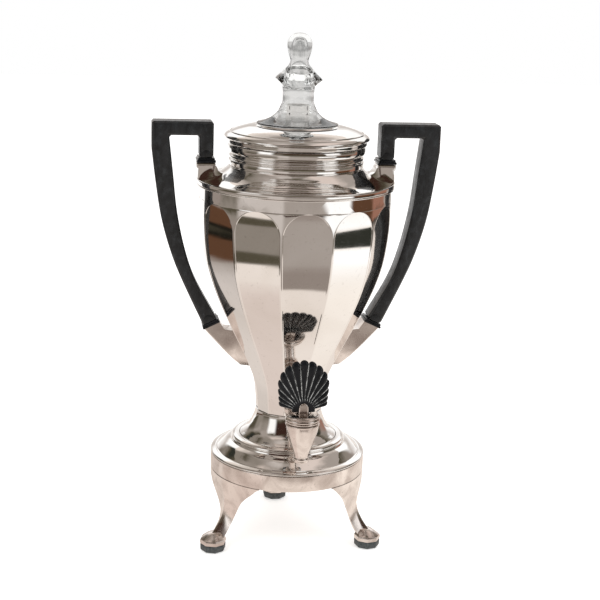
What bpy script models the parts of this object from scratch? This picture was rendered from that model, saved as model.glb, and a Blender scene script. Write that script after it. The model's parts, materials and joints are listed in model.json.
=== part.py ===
"""Electric coffee percolator urn: a twelve-sided silver body on a round pedestal and three legs,
with two black handles, a front spigot with a fan-shaped key, a lift-off lid and a glass top.

Frame: metres, +Z up, origin on the floor below the middle of the whole outline. The spigot
faces -Y and reaches further out than the rear foot, so the urn's axis stands AXIS_Y behind the
origin. The handles stand at -X and +X. Every piece is placed from the axis by a parent empty."""

from math import cos, pi, radians, sin, sqrt

import bmesh
import bpy
from mathutils import Matrix, Vector

MM = 0.001
GAP = 0.3
AXIS_Y = 5.14

# Driving dimensions, in millimetres.
FACETS = 12
FACET_HALF_ANGLE = 180.0 / FACETS
RIDGE_HALF_ANGLE = 0.7
WALL = 1.3
ROUND_STEPS = 28

BODY_FOOT_Z = 106.4
BODY_TOP_Z = 288.4
ARCH_TOP_Z = 277.0
ARCH_SHOULDER_Z = 258.0
SHOULDER_Z = 291.4
SHOULDER_RADIUS = 76.6
SHOULDER_BOTTOM_Z = 286.2
NECK_TOP_Z = 318.2

BAND_RADIUS = 61.7
BAND_TOP_Z = 69.6
BAND_BOTTOM_Z = 56.8
LEG_ANGLES = {"front_left": -60.0, "front_right": 60.0, "rear": 180.0}
LEG_TOP_Z = 56.5
LEG_SCREW_RADIUS = 57.0
BOTTOM_PLATE_Z = 57.0
FOOT_CENTRE_RADIUS = 71.5
FOOT_RADIUS = 10.2
PAD_TOP_Z = 5.6

HANDLE_DEPTH = 18.0
HANDLE_FOOT_OUTER = (70.4, 176.6)
HANDLE_FOOT_INNER = (59.8, 181.6)
SIDES = {"left": -1.0, "right": 1.0}

SPIGOT_REACH = 78.0
SHANK_Z = 114.0
SHANK_RADIUS = 5.2
THREAD_RADIUS = 4.6
BARREL_TOP_Z = 119.9
FAN_PIN_Z = 131.6

WELL_FLOOR_Z = 92.0
STEM_RADIUS = 4.0
STEM_TOP_Z = 344.0
BASKET_FLOOR_Z = 250.8
BASKET_RIM_Z = 296.5

INLET_ANGLE = 30.0
INLET_Z = 43.0
PIN_SPACING = 9.2
LEAD_PASSAGE_X = 12.0
LEAD_TOP_X = 16.0
LEAD_TOP_SPREAD = 5.0

# Ridge radius of the body at each height, from the foot seam to the shoulder.
BODY_PROFILE = [
    (106.4, 26.4),
    (113.0, 26.8),
    (129.5, 29.2),
    (152.0, 38.6),
    (177.0, 51.0),
    (205.0, 63.4),
    (225.0, 69.8),
    (244.0, 72.9),
    (263.0, 74.2),
    (288.4, 74.5),
]
BODY_LEVELS = [106.4, 114, 126, 139, 153, 170, 188, 206, 224, 241, 258, 266, 272.5, 276.4, 288.4]

# Outer side of the neck and shoulder, top to bottom, as (radius, height).
SHOULDER_OUTER = [
    (53.6, NECK_TOP_Z),
    (50.6, 311.0),
    (51.0, 307.0),
    (52.9, 304.0),
    (54.4, 297.6),
    (58.2, 293.0),
    (64.0, 290.4),
    (71.0, 290.4),
    (SHOULDER_RADIUS, SHOULDER_Z),
    (SHOULDER_RADIUS, SHOULDER_BOTTOM_Z),
]


def clear_scene():
    for obj in list(bpy.data.objects):
        bpy.data.objects.remove(obj, do_unlink=True)


def new_collection(name):
    collection = bpy.data.collections.new(name)
    bpy.context.scene.collection.children.link(collection)
    return collection


clear_scene()
PARTS = new_collection("coffee_urn")
CUTTERS = new_collection("cutters")


def new_material(name, colour, roughness, metallic):
    material = bpy.data.materials.new(name)
    material.use_nodes = True
    shader = material.node_tree.nodes["Principled BSDF"]
    shader.inputs["Base Color"].default_value = (*colour, 1.0)
    shader.inputs["Roughness"].default_value = roughness
    shader.inputs["Metallic"].default_value = metallic
    return material


POLISHED = new_material("polished_silver", (0.80, 0.76, 0.72), 0.12, 1.0)
SATIN = new_material("satin_silver", (0.74, 0.68, 0.64), 0.35, 1.0)
EBONY = new_material("black_wood", (0.03, 0.03, 0.032), 0.45, 0.0)
BAKELITE = new_material("black_bakelite", (0.01, 0.01, 0.011), 0.15, 0.0)
RUBBER = new_material("black_pad", (0.02, 0.02, 0.022), 0.7, 0.0)
ALUMINIUM = new_material("aluminium", (0.72, 0.72, 0.72), 0.35, 1.0)
BRASS = new_material("plated_brass", (0.66, 0.58, 0.42), 0.3, 1.0)
CERAMIC = new_material("white_ceramic", (0.82, 0.80, 0.75), 0.5, 0.0)
FIBRE = new_material("fibre_gasket", (0.25, 0.12, 0.08), 0.8, 0.0)
GLASS = new_material("clear_glass", (0.92, 0.95, 0.95), 0.03, 0.0)
GLASS.node_tree.nodes["Principled BSDF"].inputs["Transmission Weight"].default_value = 1.0


def place(obj, material):
    """A part goes in the object's collection, a cutter (no material) in the hidden one."""
    if material:
        PARTS.objects.link(obj)
        obj.data.materials.append(material)
        obj.data.shade_smooth()
        obj.data.set_sharp_from_angle(angle=radians(30))
    else:
        CUTTERS.objects.link(obj)
        obj.hide_render = True
        obj.display_type = "WIRE"
    return obj


def mesh_object(name, bm, material=None):
    mesh = bpy.data.meshes.new(name)
    bm.to_mesh(mesh)
    bm.free()
    return place(bpy.data.objects.new(name, mesh), material)


def turned(name, profile, material=None, steps=32, closed=True):
    """Turns an outline of (radius, height) points about Z. It runs down the outer side.

    A closed outline is a ring; an open one starts and ends on the axis."""
    bm = bmesh.new()
    points = [bm.verts.new((radius * MM, 0.0, height * MM)) for radius, height in profile]
    for start, end in zip(points, points[1:]):
        bm.edges.new((start, end))
    if closed:
        bm.edges.new((points[-1], points[0]))
    obj = mesh_object(name, bm, material)
    screw = obj.modifiers.new("turn", "SCREW")
    screw.steps = steps
    screw.render_steps = steps
    screw.use_merge_vertices = True
    screw.merge_threshold = 0.00005
    screw.use_smooth_shade = material is not None
    return obj


def rod(name, radius, low, high, material=None, steps=16):
    """A cylinder about Z, from the low height to the high one."""
    bm = bmesh.new()
    bmesh.ops.create_cone(
        bm,
        cap_ends=True,
        segments=steps,
        radius1=radius * MM,
        radius2=radius * MM,
        depth=(high - low) * MM,
        matrix=Matrix.Translation((0, 0, (low + high) / 2 * MM)),
    )
    return mesh_object(name, bm, material)


def boolean(obj, other, operation="DIFFERENCE"):
    modifier = obj.modifiers.new(operation.lower(), "BOOLEAN")
    modifier.object = other
    modifier.operation = operation
    return obj


def plate(name, outline, depth, material=None, bevel=0.0):
    """A flat outline of (x, z) points that stands upright, depth thick about Y = 0."""
    bm = bmesh.new()
    face = bm.faces.new([bm.verts.new((x * MM, -depth / 2 * MM, z * MM)) for x, z in outline])
    grown = bmesh.ops.extrude_face_region(bm, geom=[face])
    moved = [item for item in grown["geom"] if isinstance(item, bmesh.types.BMVert)]
    bmesh.ops.translate(bm, verts=moved, vec=(0, depth * MM, 0))
    bmesh.ops.recalc_face_normals(bm, faces=bm.faces)
    obj = mesh_object(name, bm, material)
    if bevel:
        edge = obj.modifiers.new("soft_edges", "BEVEL")
        edge.width = bevel * MM
        edge.segments = 1
        edge.limit_method = "ANGLE"
        edge.angle_limit = radians(50)
    return obj


def loft(name, sections, material=None):
    """Skins a list of loops, each with the same number of points in mm, and caps both ends."""
    bm = bmesh.new()
    loops = [[bm.verts.new(Vector(point) * MM) for point in loop] for loop in sections]
    count = len(loops[0])
    for upper, lower in zip(loops, loops[1:]):
        for i in range(count):
            j = (i + 1) % count
            bm.faces.new((upper[i], upper[j], lower[j], lower[i]))
    bm.faces.new(loops[0])
    bm.faces.new(loops[-1])
    bmesh.ops.recalc_face_normals(bm, faces=bm.faces)
    return mesh_object(name, bm, material)


def arc(centre, radius, start, end, count):
    """Points on a circle from the start angle to the end angle, in degrees."""
    steps = [radians(start + (end - start) * i / (count - 1)) for i in range(count)]
    return [(centre[0] + radius * cos(a), centre[1] + radius * sin(a)) for a in steps]


def smooth_curve(points, per_span):
    """A Catmull-Rom curve through 2-D points, with per_span steps between neighbours."""
    ends = [points[0], *points, points[-1]]
    curve = []
    for i in range(len(points) - 1):
        before, start, end, after = (Vector(p) for p in ends[i : i + 4])
        for step in range(per_span):
            t = step / per_span
            bend = (2 * before - 5 * start + 4 * end - after) * t * t
            twist = (3 * start - 3 * end + after - before) * t * t * t
            curve.append(tuple((2 * start + (end - before) * t + bend + twist) / 2))
    return [*curve, points[-1]]


def ridge_radius(height):
    """The body's radius along a ridge: a cubic through BODY_PROFILE."""
    last = len(BODY_PROFILE) - 1
    k = max(i for i in range(last) if BODY_PROFILE[i][0] <= height or i == 0)
    (low, r_low), (high, r_high) = BODY_PROFILE[k], BODY_PROFILE[k + 1]

    def slope(i):
        a, b = max(i - 1, 0), min(i + 1, last)
        return (BODY_PROFILE[b][1] - BODY_PROFILE[a][1]) / (BODY_PROFILE[b][0] - BODY_PROFILE[a][0])

    span = high - low
    t = (height - low) / span
    start = (2 * t**3 - 3 * t**2 + 1) * r_low + (t**3 - 2 * t**2 + t) * span * slope(k)
    return start + (3 * t**2 - 2 * t**3) * r_high + (t**3 - t**2) * span * slope(k + 1)


def flat_half_angle(height):
    """Half the angle that each flat takes: full below, closing to a round arch at the top."""
    full = FACET_HALF_ANGLE - RIDGE_HALF_ANGLE
    rise = (height - ARCH_SHOULDER_Z) / (ARCH_TOP_Z - ARCH_SHOULDER_Z)
    if rise <= 0:
        return full
    return max(full * sqrt(max(1 - rise * rise, 0.0)), RIDGE_HALF_ANGLE)


def body_loop(height, grow=0.0):
    """One level of the body, as points anticlockwise from the middle of the front flat."""
    radius = ridge_radius(height) + grow
    edge = flat_half_angle(height)
    loop = []
    for facet in range(FACETS):
        middle = -90 + facet * 2 * FACET_HALF_ANGLE
        for offset in (0, edge, FACET_HALF_ANGLE, 2 * FACET_HALF_ANGLE - edge):
            reach = radius * cos(radians(edge)) if offset == 0 else radius
            angle = radians(middle + offset)
            loop.append((reach * cos(angle), reach * sin(angle), height))
    return loop


def make_body():
    bm = bmesh.new()
    loops = [[bm.verts.new(Vector(p) * MM) for p in body_loop(height)] for height in BODY_LEVELS]
    count = len(loops[0])
    for lower, upper in zip(loops, loops[1:]):
        for i in range(count):
            j = (i + 1) % count
            bm.faces.new((lower[i], lower[j], upper[j], upper[i]))
    body = mesh_object("urn_body", bm, POLISHED)
    shell = body.modifiers.new("sheet_metal", "SOLIDIFY")
    shell.thickness = WALL * MM
    shell.offset = -1
    port = rod("cut_body_port", THREAD_RADIUS + GAP, 20, 34, steps=16)
    port.matrix_world = Matrix.Translation((0, 0, SHANK_Z * MM)) @ Matrix.Rotation(pi / 2, 4, "X")
    boolean(body, port)


def make_shoulder():
    inner = [
        (SHOULDER_RADIUS - 1.2, SHOULDER_BOTTOM_Z),
        (SHOULDER_RADIUS - 1.2, BODY_TOP_Z + GAP),
        (63.6, BODY_TOP_Z + GAP),
        (56.8, 291.6),
        (52.8, 296.8),
        (49.4, 307.0),
        (51.9, NECK_TOP_Z),
    ]
    turned("neck_and_shoulder", SHOULDER_OUTER + inner, POLISHED, ROUND_STEPS)


def envelope(name, grow):
    """A solid that fills the body and the shoulder and stands grow proud of both."""
    levels = [BODY_FOOT_Z - 1, *BODY_LEVELS[1:]]
    solid = loft(name, [body_loop(max(height, BODY_FOOT_Z), grow) for height in levels])
    outer = [(r + grow, z + grow) for r, z in SHOULDER_OUTER]
    bottom = SHOULDER_BOTTOM_Z - grow
    profile = [(0, NECK_TOP_Z + grow), *outer, (SHOULDER_RADIUS + grow, bottom), (0, bottom)]
    cap = turned(name + "_top", profile, None, ROUND_STEPS, False)
    return solid, cap


def make_base():
    turned(
        "pedestal",
        [
            (26.4, 106.0),
            (28.2, 98.6),
            (32.0, 90.6),
            (38.6, 84.8),
            (38.6, 83.5),
            (30.9, 90.0),
            (27.0, 98.4),
            (25.2, 106.0),
        ],
        POLISHED,
        ROUND_STEPS,
    )
    turned(
        "base_cover",
        [
            (39.0, 84.8),
            (43.8, 84.4),
            (44.8, 83.0),
            (44.8, 81.2),
            (50.6, 77.2),
            (54.0, 74.0),
            (61.9, 71.0),
            (61.9, 69.9),
            (53.2, 72.8),
            (49.8, 76.0),
            (43.4, 80.2),
            (43.4, 83.1),
            (39.0, 83.5),
        ],
        POLISHED,
        ROUND_STEPS,
    )
    turned(
        "plinth_band",
        [
            (61.6, BAND_TOP_Z),
            (BAND_RADIUS, BAND_BOTTOM_Z),
            (60.2, BAND_BOTTOM_Z),
            (60.2, 68.2),
            (56.4, 68.2),
            (56.4, BAND_TOP_Z),
        ],
        SATIN,
        ROUND_STEPS,
    )
    bottom = [(3.2, 58.2), (59.9, 58.2), (59.9, BOTTOM_PLATE_Z), (3.2, BOTTOM_PLATE_Z)]
    return turned("bottom_plate", bottom, ALUMINIUM, ROUND_STEPS)


def leg_section(height, crest, half_width, thickness, curl):
    """One level of a leg in its own frame: x outward, y across. curl bends it along the band."""
    radius = 61.0
    loop = []
    for t in (-1.0, -0.55, 0.0, 0.55, 1.0):
        across = t * half_width
        drop = curl * (radius - sqrt(radius**2 - across**2)) + (1 - curl) * abs(t) * thickness * 0.45
        loop.append((crest - drop, across, height))
    for t in (0.9, 0.45, 0.0, -0.45, -0.9):
        across = t * half_width
        drop = curl * (radius - sqrt(radius**2 - across**2)) - (1 - curl) * abs(t) * thickness * 0.25
        loop.append((crest - drop - thickness, across, height))
    return loop


def leg_foot_section(height, centre, radius):
    """The foot's section on the leg's loop of ten points: an octagon with a flat outward."""
    corners = [-67.5, -22.5, 0, 22.5, 67.5, 112.5, 157.5, 180, 202.5, 247.5]
    loop = []
    for angle in corners:
        reach = radius * (1.0 if angle % 45 else cos(radians(22.5)))
        loop.append((centre + reach * cos(radians(angle)), reach * sin(radians(angle)), height))
    return loop


def around(angle, radius=0.0, z=0.0):
    """A placement at this angle from the front, with local x outward."""
    turn = Matrix.Rotation(radians(angle - 90), 4, "Z")
    return turn @ Matrix.Translation((radius * MM, 0, z * MM))


def make_legs(bottom_plate):
    rows = [
        leg_section(LEG_TOP_Z, 61.7, 33.4, 8.6, 1.0),
        leg_section(52.0, 61.7, 27.6, 8.2, 0.9),
        leg_section(46.5, 61.6, 22.2, 7.2, 0.75),
        leg_section(38.5, 61.1, 15.6, 6.0, 0.5),
        leg_section(29.0, 60.6, 10.0, 5.8, 0.2),
        leg_section(20.5, 61.6, 7.4, 6.4, 0.0),
        leg_section(16.0, 66.4, 6.8, 8.6, 0.0),
        leg_foot_section(12.6, 70.0, 8.4),
        leg_foot_section(9.0, FOOT_CENTRE_RADIUS, FOOT_RADIUS),
        leg_foot_section(PAD_TOP_Z + GAP, FOOT_CENTRE_RADIUS, FOOT_RADIUS),
    ]
    for name, angle in LEG_ANGLES.items():
        leg = loft(f"leg_{name}", rows, SATIN)
        leg.matrix_world = around(angle)
        top_hole = rod(f"cut_leg_top_{name}", 1.8, 48.0, 60.0, steps=8)
        top_hole.matrix_world = around(angle, LEG_SCREW_RADIUS)
        boolean(leg, top_hole)
        boolean(bottom_plate, top_hole)
        foot_hole = rod(f"cut_leg_foot_{name}", 1.8, 4.0, 10.4, steps=8)
        foot_hole.matrix_world = around(angle, FOOT_CENTRE_RADIUS)
        boolean(leg, foot_hole)
        screw = turned(
            f"leg_screw_{name}",
            [(0, 60.0), (2.7, 60.0), (2.7, 58.5), (1.5, 58.5), (1.5, 49.0), (0, 49.0)],
            BRASS,
            8,
            False,
        )
        screw.matrix_world = around(angle, LEG_SCREW_RADIUS)
        pad = turned(
            f"foot_pad_{name}",
            [
                (FOOT_RADIUS, PAD_TOP_Z),
                (FOOT_RADIUS, 0.8),
                (FOOT_RADIUS - 0.8, 0.0),
                (4.4, 0.0),
                (4.4, 2.6),
                (2.2, 2.6),
                (2.2, PAD_TOP_Z),
            ],
            RUBBER,
            8,
        )
        pad.matrix_world = around(angle, FOOT_CENTRE_RADIUS) @ Matrix.Rotation(radians(22.5), 4, "Z")
        screw = turned(
            f"foot_screw_{name}",
            [(0, 10.0), (1.4, 10.0), (1.4, 2.3), (3.2, 2.3), (3.2, 1.0), (0, 1.0)],
            BRASS,
            8,
            False,
        )
        screw.matrix_world = around(angle, FOOT_CENTRE_RADIUS)


def make_heater():
    turned(
        "vessel_floor",
        [
            (0, WELL_FLOOR_Z),
            (13.0, WELL_FLOOR_Z),
            (13.0, 106.6),
            (23.5, 106.6),
            (23.5, 105.4),
            (14.2, 105.4),
            (14.2, WELL_FLOOR_Z - 1.2),
            (0, WELL_FLOOR_Z - 1.2),
        ],
        ALUMINIUM,
        20,
        False,
    )
    turned("heating_element", [(20, 90.4), (20, 85.4), (3.0, 85.4), (3.0, 90.4)], CERAMIC, 20)
    rod("tie_rod", 2.6, 50.6, 90.4, BRASS, 12)
    turned("tie_rod_nut", [(6.2, 56.6), (6.2, 52.4), (3.4, 52.4), (3.4, 56.6)], BRASS, 6)
    tray = [
        (21.5, 90.0),
        (22.6, 90.0),
        (22.6, 84.0),
        (12.0, 81.6),
        (3.0, 81.6),
        (3.0, 85.0),
        (21.5, 85.0),
    ]
    return turned("heater_clamp", tray, ALUMINIUM, 20)


def make_inlet(bottom_plate, clamp):
    """The two-pin cord inlet, under the base and behind, between the rear and right legs."""
    facing = Matrix.Rotation(radians(INLET_ANGLE), 4, "Z")
    lie = Matrix.Translation((0, 0, INLET_Z * MM)) @ Matrix.Rotation(pi / 2, 4, "Y")
    cup = [(10.4, 48.0), (11.4, 48.0), (11.4, 18.0), (6.4, 18.0), (6.4, 19.2), (10.4, 19.2)]
    guard = turned("inlet_guard", cup, ALUMINIUM, 20)
    guard.matrix_world = facing @ lie
    angle = [(15.9, 36.0), (17.7, 36.0), (17.7, 55.1), (30.0, 55.1), (30.0, 56.7), (15.9, 56.7)]
    bracket = plate("inlet_bracket", angle, 14.0, ALUMINIUM)
    bracket.matrix_world = facing
    window = rod("cut_bracket_window", 6.2, 10, 19)
    window.matrix_world = facing @ lie
    boolean(bracket, window)
    passage = rod("cut_lead_passage", 3.8, 50, 65)
    passage.matrix_world = facing @ Matrix.Translation((LEAD_PASSAGE_X * MM, 0, 0))
    boolean(bottom_plate, passage)
    disc = [(0, 24.5), (10.1, 24.5), (10.1, 19.5), (0, 19.5)]
    insulator = turned("inlet_insulator", disc, CERAMIC, 20, False)
    insulator.matrix_world = facing @ lie
    for name, sign in SIDES.items():
        beside = facing @ Matrix.Translation((0, sign * PIN_SPACING / 2 * MM, 0)) @ lie
        hole = rod(f"cut_inlet_pin_{name}", 2.1, 15, 30, steps=8)
        hole.matrix_world = beside
        boolean(insulator, hole)
        pin = rod(f"inlet_pin_{name}", 1.8, 19.5, 41.0, BRASS, 8)
        pin.matrix_world = beside
        lead = make_lead(name, sign)
        lead.matrix_world = facing
        hole = rod(f"cut_clamp_{name}", 1.6, 80, 86, steps=8)
        beside_rod = Vector((LEAD_TOP_X, sign * LEAD_TOP_SPREAD, 0)) * MM
        hole.matrix_world = facing @ Matrix.Translation(beside_rod)
        boolean(clamp, hole)


def make_lead(name, sign):
    """An insulated wire from the back of a pin, up through the bottom plate, to the element."""
    pin = PIN_SPACING / 2
    route = [
        (19.2, pin, INLET_Z),
        (16.0, pin, INLET_Z),
        (12.6, 2.4, 48.0),
        (LEAD_PASSAGE_X, 1.7, BOTTOM_PLATE_Z),
        (13.0, 2.6, 67.0),
        (LEAD_TOP_X, LEAD_TOP_SPREAD, 78.0),
        (LEAD_TOP_X, LEAD_TOP_SPREAD, 85.1),
    ]
    points = smooth_curve([(x, sign * y, z) for x, y, z in route], 2)
    curve = bpy.data.curves.new(f"heater_lead_{name}", "CURVE")
    curve.dimensions = "3D"
    curve.bevel_depth = 0.9 * MM
    curve.bevel_resolution = 1
    curve.use_fill_caps = True
    spline = curve.splines.new("POLY")
    spline.points.add(len(points) - 1)
    for target, point in zip(spline.points, points):
        target.co = (*(Vector(point) * MM), 1.0)
    curve.materials.append(FIBRE)
    lead = bpy.data.objects.new(f"heater_lead_{name}", curve)
    PARTS.objects.link(lead)
    return lead


def handle_hoop():
    """A handle is a flat black hoop: a short upright, a top bar and a long curved bar."""
    outside = [(111, 314), (107.6, 287), (103.2, 260), (95.8, 234), (87, 212), HANDLE_FOOT_OUTER]
    inside = [HANDLE_FOOT_INNER, (76.6, 212), (85.2, 237), (91.4, 266), (94.8, 296), (98, 324.4)]
    outer = smooth_curve(outside, 2)
    inner = smooth_curve(inside, 2)
    return [(64.4, 335), (111, 335), *outer, *inner, (75.2, 324.4), (75.2, 307.8), (64.4, 307.8)]


def lower_frame():
    """The middle of the handle's lower end, the way along that end, and the way out of the wood."""
    outer, inner = Vector(HANDLE_FOOT_OUTER), Vector(HANDLE_FOOT_INNER)
    along = (outer - inner).normalized()
    return (outer + inner) / 2, along, Vector((along.y, -along.x))


def build_handles(solid, cap):
    middle, along, out = lower_frame()
    corners = ((-7.0, GAP), (7.0, GAP), (7.0, 3.4), (-7.0, 3.4))
    washer_outlines = {
        "upper": [(76.8, 307.5), (62.9, 307.5), (62.9, 303.9), (76.8, 303.9)],
        "lower": [tuple(middle + along * a + out * b) for a, b in corners],
    }
    socket_outlines = {
        "upper": [
            (62.4, 303.6),
            (77.2, 303.6),
            (77.4, 300.4),
            (75.6, 299.0),
            (75.0, 288.0),
            (52.0, 288.0),
            (52.0, 299.4),
            (61.0, 299.8),
        ],
        "lower": [
            tuple(middle + along * 6.8 + out * 3.7),
            (60.6, 162.6),
            (53.4, 155.0),
            (46.4, 147.8),
            (39.4, 141.4),
            (36.0, 139.6),
            (28.0, 143.0),
            (44.0, 184.0),
            (51.0, 180.4),
            (50.6, 173.0),
            (53.4, 172.0),
            tuple(middle - along * 6.8 + out * 3.7),
        ],
    }
    screw_seats = {
        "upper": (Vector((69.8, 303.9)), Vector((0, 1))),
        "lower": (middle + out * 3.4, -out),
    }
    for side, sign in SIDES.items():
        turn = Matrix.Rotation(0 if sign > 0 else pi, 4, "Z")
        handle = plate(f"handle_{side}", handle_hoop(), HANDLE_DEPTH, EBONY, 2.2)
        handle.matrix_world = turn
        for level in ("upper", "lower"):
            finish = POLISHED if level == "upper" else SATIN
            washer_name = f"handle_washer_{level}_{side}"
            washer = plate(washer_name, washer_outlines[level], HANDLE_DEPTH + 1.6, BAKELITE, 0.9)
            socket_name = f"{level}_socket_{side}"
            socket = plate(socket_name, socket_outlines[level], HANDLE_DEPTH - 2, finish, 1.0)
            foot, way = screw_seats[level]
            tilt = Vector((0, 0, 1)).rotation_difference(Vector((way.x, 0, way.y)))
            shift = Matrix.Translation((foot.x * MM, 0, foot.y * MM))
            seat = turn @ shift @ tilt.to_matrix().to_4x4()
            hole = rod(f"cut_{level}_screw_{side}", 2.3, -7.0, 17.0, steps=8)
            hole.matrix_world = seat
            screw = rod(f"handle_screw_{level}_{side}", 1.9, -6.4, 16.4, BRASS, 8)
            screw.matrix_world = seat
            for piece in (washer, socket):
                piece.matrix_world = turn
            for piece in (handle, washer, socket):
                boolean(piece, hole)
            boolean(socket, solid)
            if level == "upper":
                boolean(socket, cap)


def make_spigot(solid):
    seat = Matrix.Translation((0, -SPIGOT_REACH * MM, 0))
    lie = Matrix.Translation((0, 0, SHANK_Z * MM)) @ Matrix.Rotation(pi / 2, 4, "X")
    body = turned(
        "spigot_body",
        [
            (0, BARREL_TOP_Z),
            (12.4, BARREL_TOP_Z),
            (10.9, 110.8),
            (8.7, 103.6),
            (5.0, 92.4),
            (5.5, 90.6),
            (4.8, 88.4),
            (0, 88.4),
        ],
        SATIN,
        20,
        False,
    )
    body.matrix_world = seat
    shank = turned(
        "join_shank",
        [
            (0, 70.0),
            (SHANK_RADIUS, 70.0),
            (SHANK_RADIUS, 56.0),
            (8.0, 55.0),
            (8.0, 51.0),
            (SHANK_RADIUS, 50.0),
            (SHANK_RADIUS, 33.4),
            (7.4, 31.6),
            (7.4, 29.6),
            (THREAD_RADIUS, 29.6),
            (THREAD_RADIUS, 18.6),
            (0, 18.6),
        ],
        None,
        16,
        False,
    )
    shank.matrix_world = lie
    boolean(body, shank, "UNION")
    taper = turned(
        "cut_key_seat",
        [(0, 121), (7.7, 121), (5.6, 100.2), (3.1, 100.2), (3.1, 87), (0, 87)],
        None,
        20,
        False,
    )
    taper.matrix_world = seat
    boolean(body, taper)
    bore = rod("cut_shank_bore", 2.9, 17, SPIGOT_REACH - 1, steps=12)
    bore.matrix_world = lie
    boolean(body, bore)

    gasket = turned("shank_gasket", [(7.2, 29.3), (7.2, 22.0), (5.0, 22.0), (5.0, 29.3)], FIBRE, 20)
    gasket.matrix_world = lie
    boolean(gasket, solid)
    nut = turned("shank_nut", [(7.2, 23.6), (7.2, 20.0), (5.7, 20.0), (5.7, 23.6)], BRASS, 6)
    nut.matrix_world = lie

    cap = turned(
        "spigot_cap",
        [
            (9.0, 127.0),
            (12.9, 125.2),
            (12.2, 123.4),
            (13.2, 122.4),
            (12.6, 120.2),
            (5.8, 120.2),
            (5.8, 127.0),
        ],
        SATIN,
        20,
    )
    cap.matrix_world = seat

    key = turned(
        "spigot_key",
        [(0, 127.9), (5.4, 127.9), (5.4, 119.8), (7.28, 119.8), (5.32, 100.5), (0, 100.5)],
        SATIN,
        20,
        False,
    )
    key.matrix_world = seat
    tang = plate("join_tang", [(3.6, 127.4), *arc((0, 132.4), 3.6, 0, 180, 9), (-3.6, 127.4)], 10.4)
    tang.matrix_world = seat
    boolean(key, tang, "UNION")
    slot = plate("cut_tang_slot", [(-6, 128.3), (6, 128.3), (6, 140), (-6, 140)], 8.0)
    slot.matrix_world = seat
    boolean(key, slot)
    outlet = rod("cut_key_outlet", 2.7, 98, SHANK_Z + 0.4, steps=12)
    outlet.matrix_world = seat
    boolean(key, outlet)
    port = rod("cut_key_port", 2.4, -12, 12, steps=10)
    crosswise = Matrix.Rotation(pi / 2, 4, "Y")
    port.matrix_world = seat @ Matrix.Translation((0, 0, SHANK_Z * MM)) @ crosswise
    boolean(key, port)
    make_fan(seat, key)


def make_fan(seat, key):
    """The black fan: a shell with two lower corners, on a half-round root that the key's tangs hold."""
    centre = (0.0, 148.8)
    rim = arc(centre, 19.4, -8, 188, 17)
    skirt = [(5.2, 128.6), (9.3, 130.2), (18.1, 133.2)]
    other_skirt = [(-x, z) for x, z in reversed(skirt)]
    fan = plate("fan_handle", [*skirt, *rim, *other_skirt], 5.0, BAKELITE)
    fan.matrix_world = seat
    root = plate("join_fan_root", [(8.7, 128.7), *arc((0, 130.5), 8.7, 0, 180, 9), (-8.7, 128.7)], 7.4)
    root.matrix_world = seat
    boolean(fan, root, "UNION")
    across = seat @ Matrix.Translation((0, 0, FAN_PIN_Z * MM)) @ Matrix.Rotation(pi / 2, 4, "X")
    hole = rod("cut_pin_hole", 1.3, -7, 7, steps=8)
    hole.matrix_world = across
    boolean(fan, hole)
    boolean(key, hole)
    pin = rod("fan_pin", 1.0, -5.0, 5.0, BRASS, 8)
    pin.matrix_world = across


def make_brewing_parts():
    turned(
        "pump_stem",
        [
            (STEM_RADIUS, STEM_TOP_Z),
            (STEM_RADIUS, BASKET_FLOOR_Z - 0.3),
            (6.6, BASKET_FLOOR_Z - 0.6),
            (6.6, BASKET_FLOOR_Z - 3.4),
            (STEM_RADIUS, BASKET_FLOOR_Z - 5.2),
            (STEM_RADIUS, 108.0),
            (5.4, 103.0),
            (11.6, 96.0),
            (11.6, WELL_FLOOR_Z + GAP),
            (10.4, WELL_FLOOR_Z + GAP),
            (10.4, 95.6),
            (4.4, 102.6),
            (3.1, 107.0),
            (3.1, STEM_TOP_Z),
        ],
        ALUMINIUM,
        16,
    )
    turned(
        "coffee_basket",
        [
            (44.2, BASKET_RIM_Z),
            (44.2, BASKET_RIM_Z - 1.4),
            (43.0, BASKET_RIM_Z - 1.8),
            (43.0, 254.0),
            (40.4, BASKET_FLOOR_Z),
            (4.6, BASKET_FLOOR_Z),
            (4.6, 292.0),
            (5.8, 292.0),
            (5.8, 252.0),
            (39.8, 252.0),
            (41.9, 254.6),
            (41.9, BASKET_RIM_Z),
        ],
        ALUMINIUM,
        20,
    )
    turned(
        "basket_cover",
        [
            (6.0, 301.4),
            (6.8, 299.2),
            (30.0, 298.4),
            (44.8, 298.0),
            (44.8, 296.8),
            (4.6, 296.8),
            (4.6, 301.4),
        ],
        ALUMINIUM,
        20,
    )


def make_lid():
    turned(
        "lid",
        [
            (8.9, 348.0),
            (8.9, 333.4),
            (28.8, 332.4),
            (31.8, 333.0),
            (51.1, 327.4),
            (55.4, 324.9),
            (56.0, 323.0),
            (54.0, 318.6),
            (48.6, 318.6),
            (48.6, 309.0),
            (47.6, 309.0),
            (47.6, 324.8),
            (31.0, 331.0),
            (7.9, 332.2),
            (7.9, 348.0),
        ],
        POLISHED,
        ROUND_STEPS,
    )


def make_glass():
    outer = [
        (0, 402.0),
        (6.4, 400.2),
        (9.5, 393.4),
        (6.8, 381.6),
        (9.8, 375.6),
        (17.9, 368.2),
        (17.9, 366.8),
        (12.6, 362.0),
        (12.3, 349.6),
        (15.6, 342.6),
        (22.0, 337.4),
        (31.3, 334.0),
        (31.3, 333.4),
    ]
    inner = [
        (29.8, 333.4),
        (18.6, 336.0),
        (13.0, 341.6),
        (10.2, 349.6),
        (9.8, 361.0),
        (4.4, 380.0),
        (4.4, 391.6),
        (0, 397.2),
    ]
    turned("glass_top", outer + inner, GLASS, 24, False)


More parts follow.
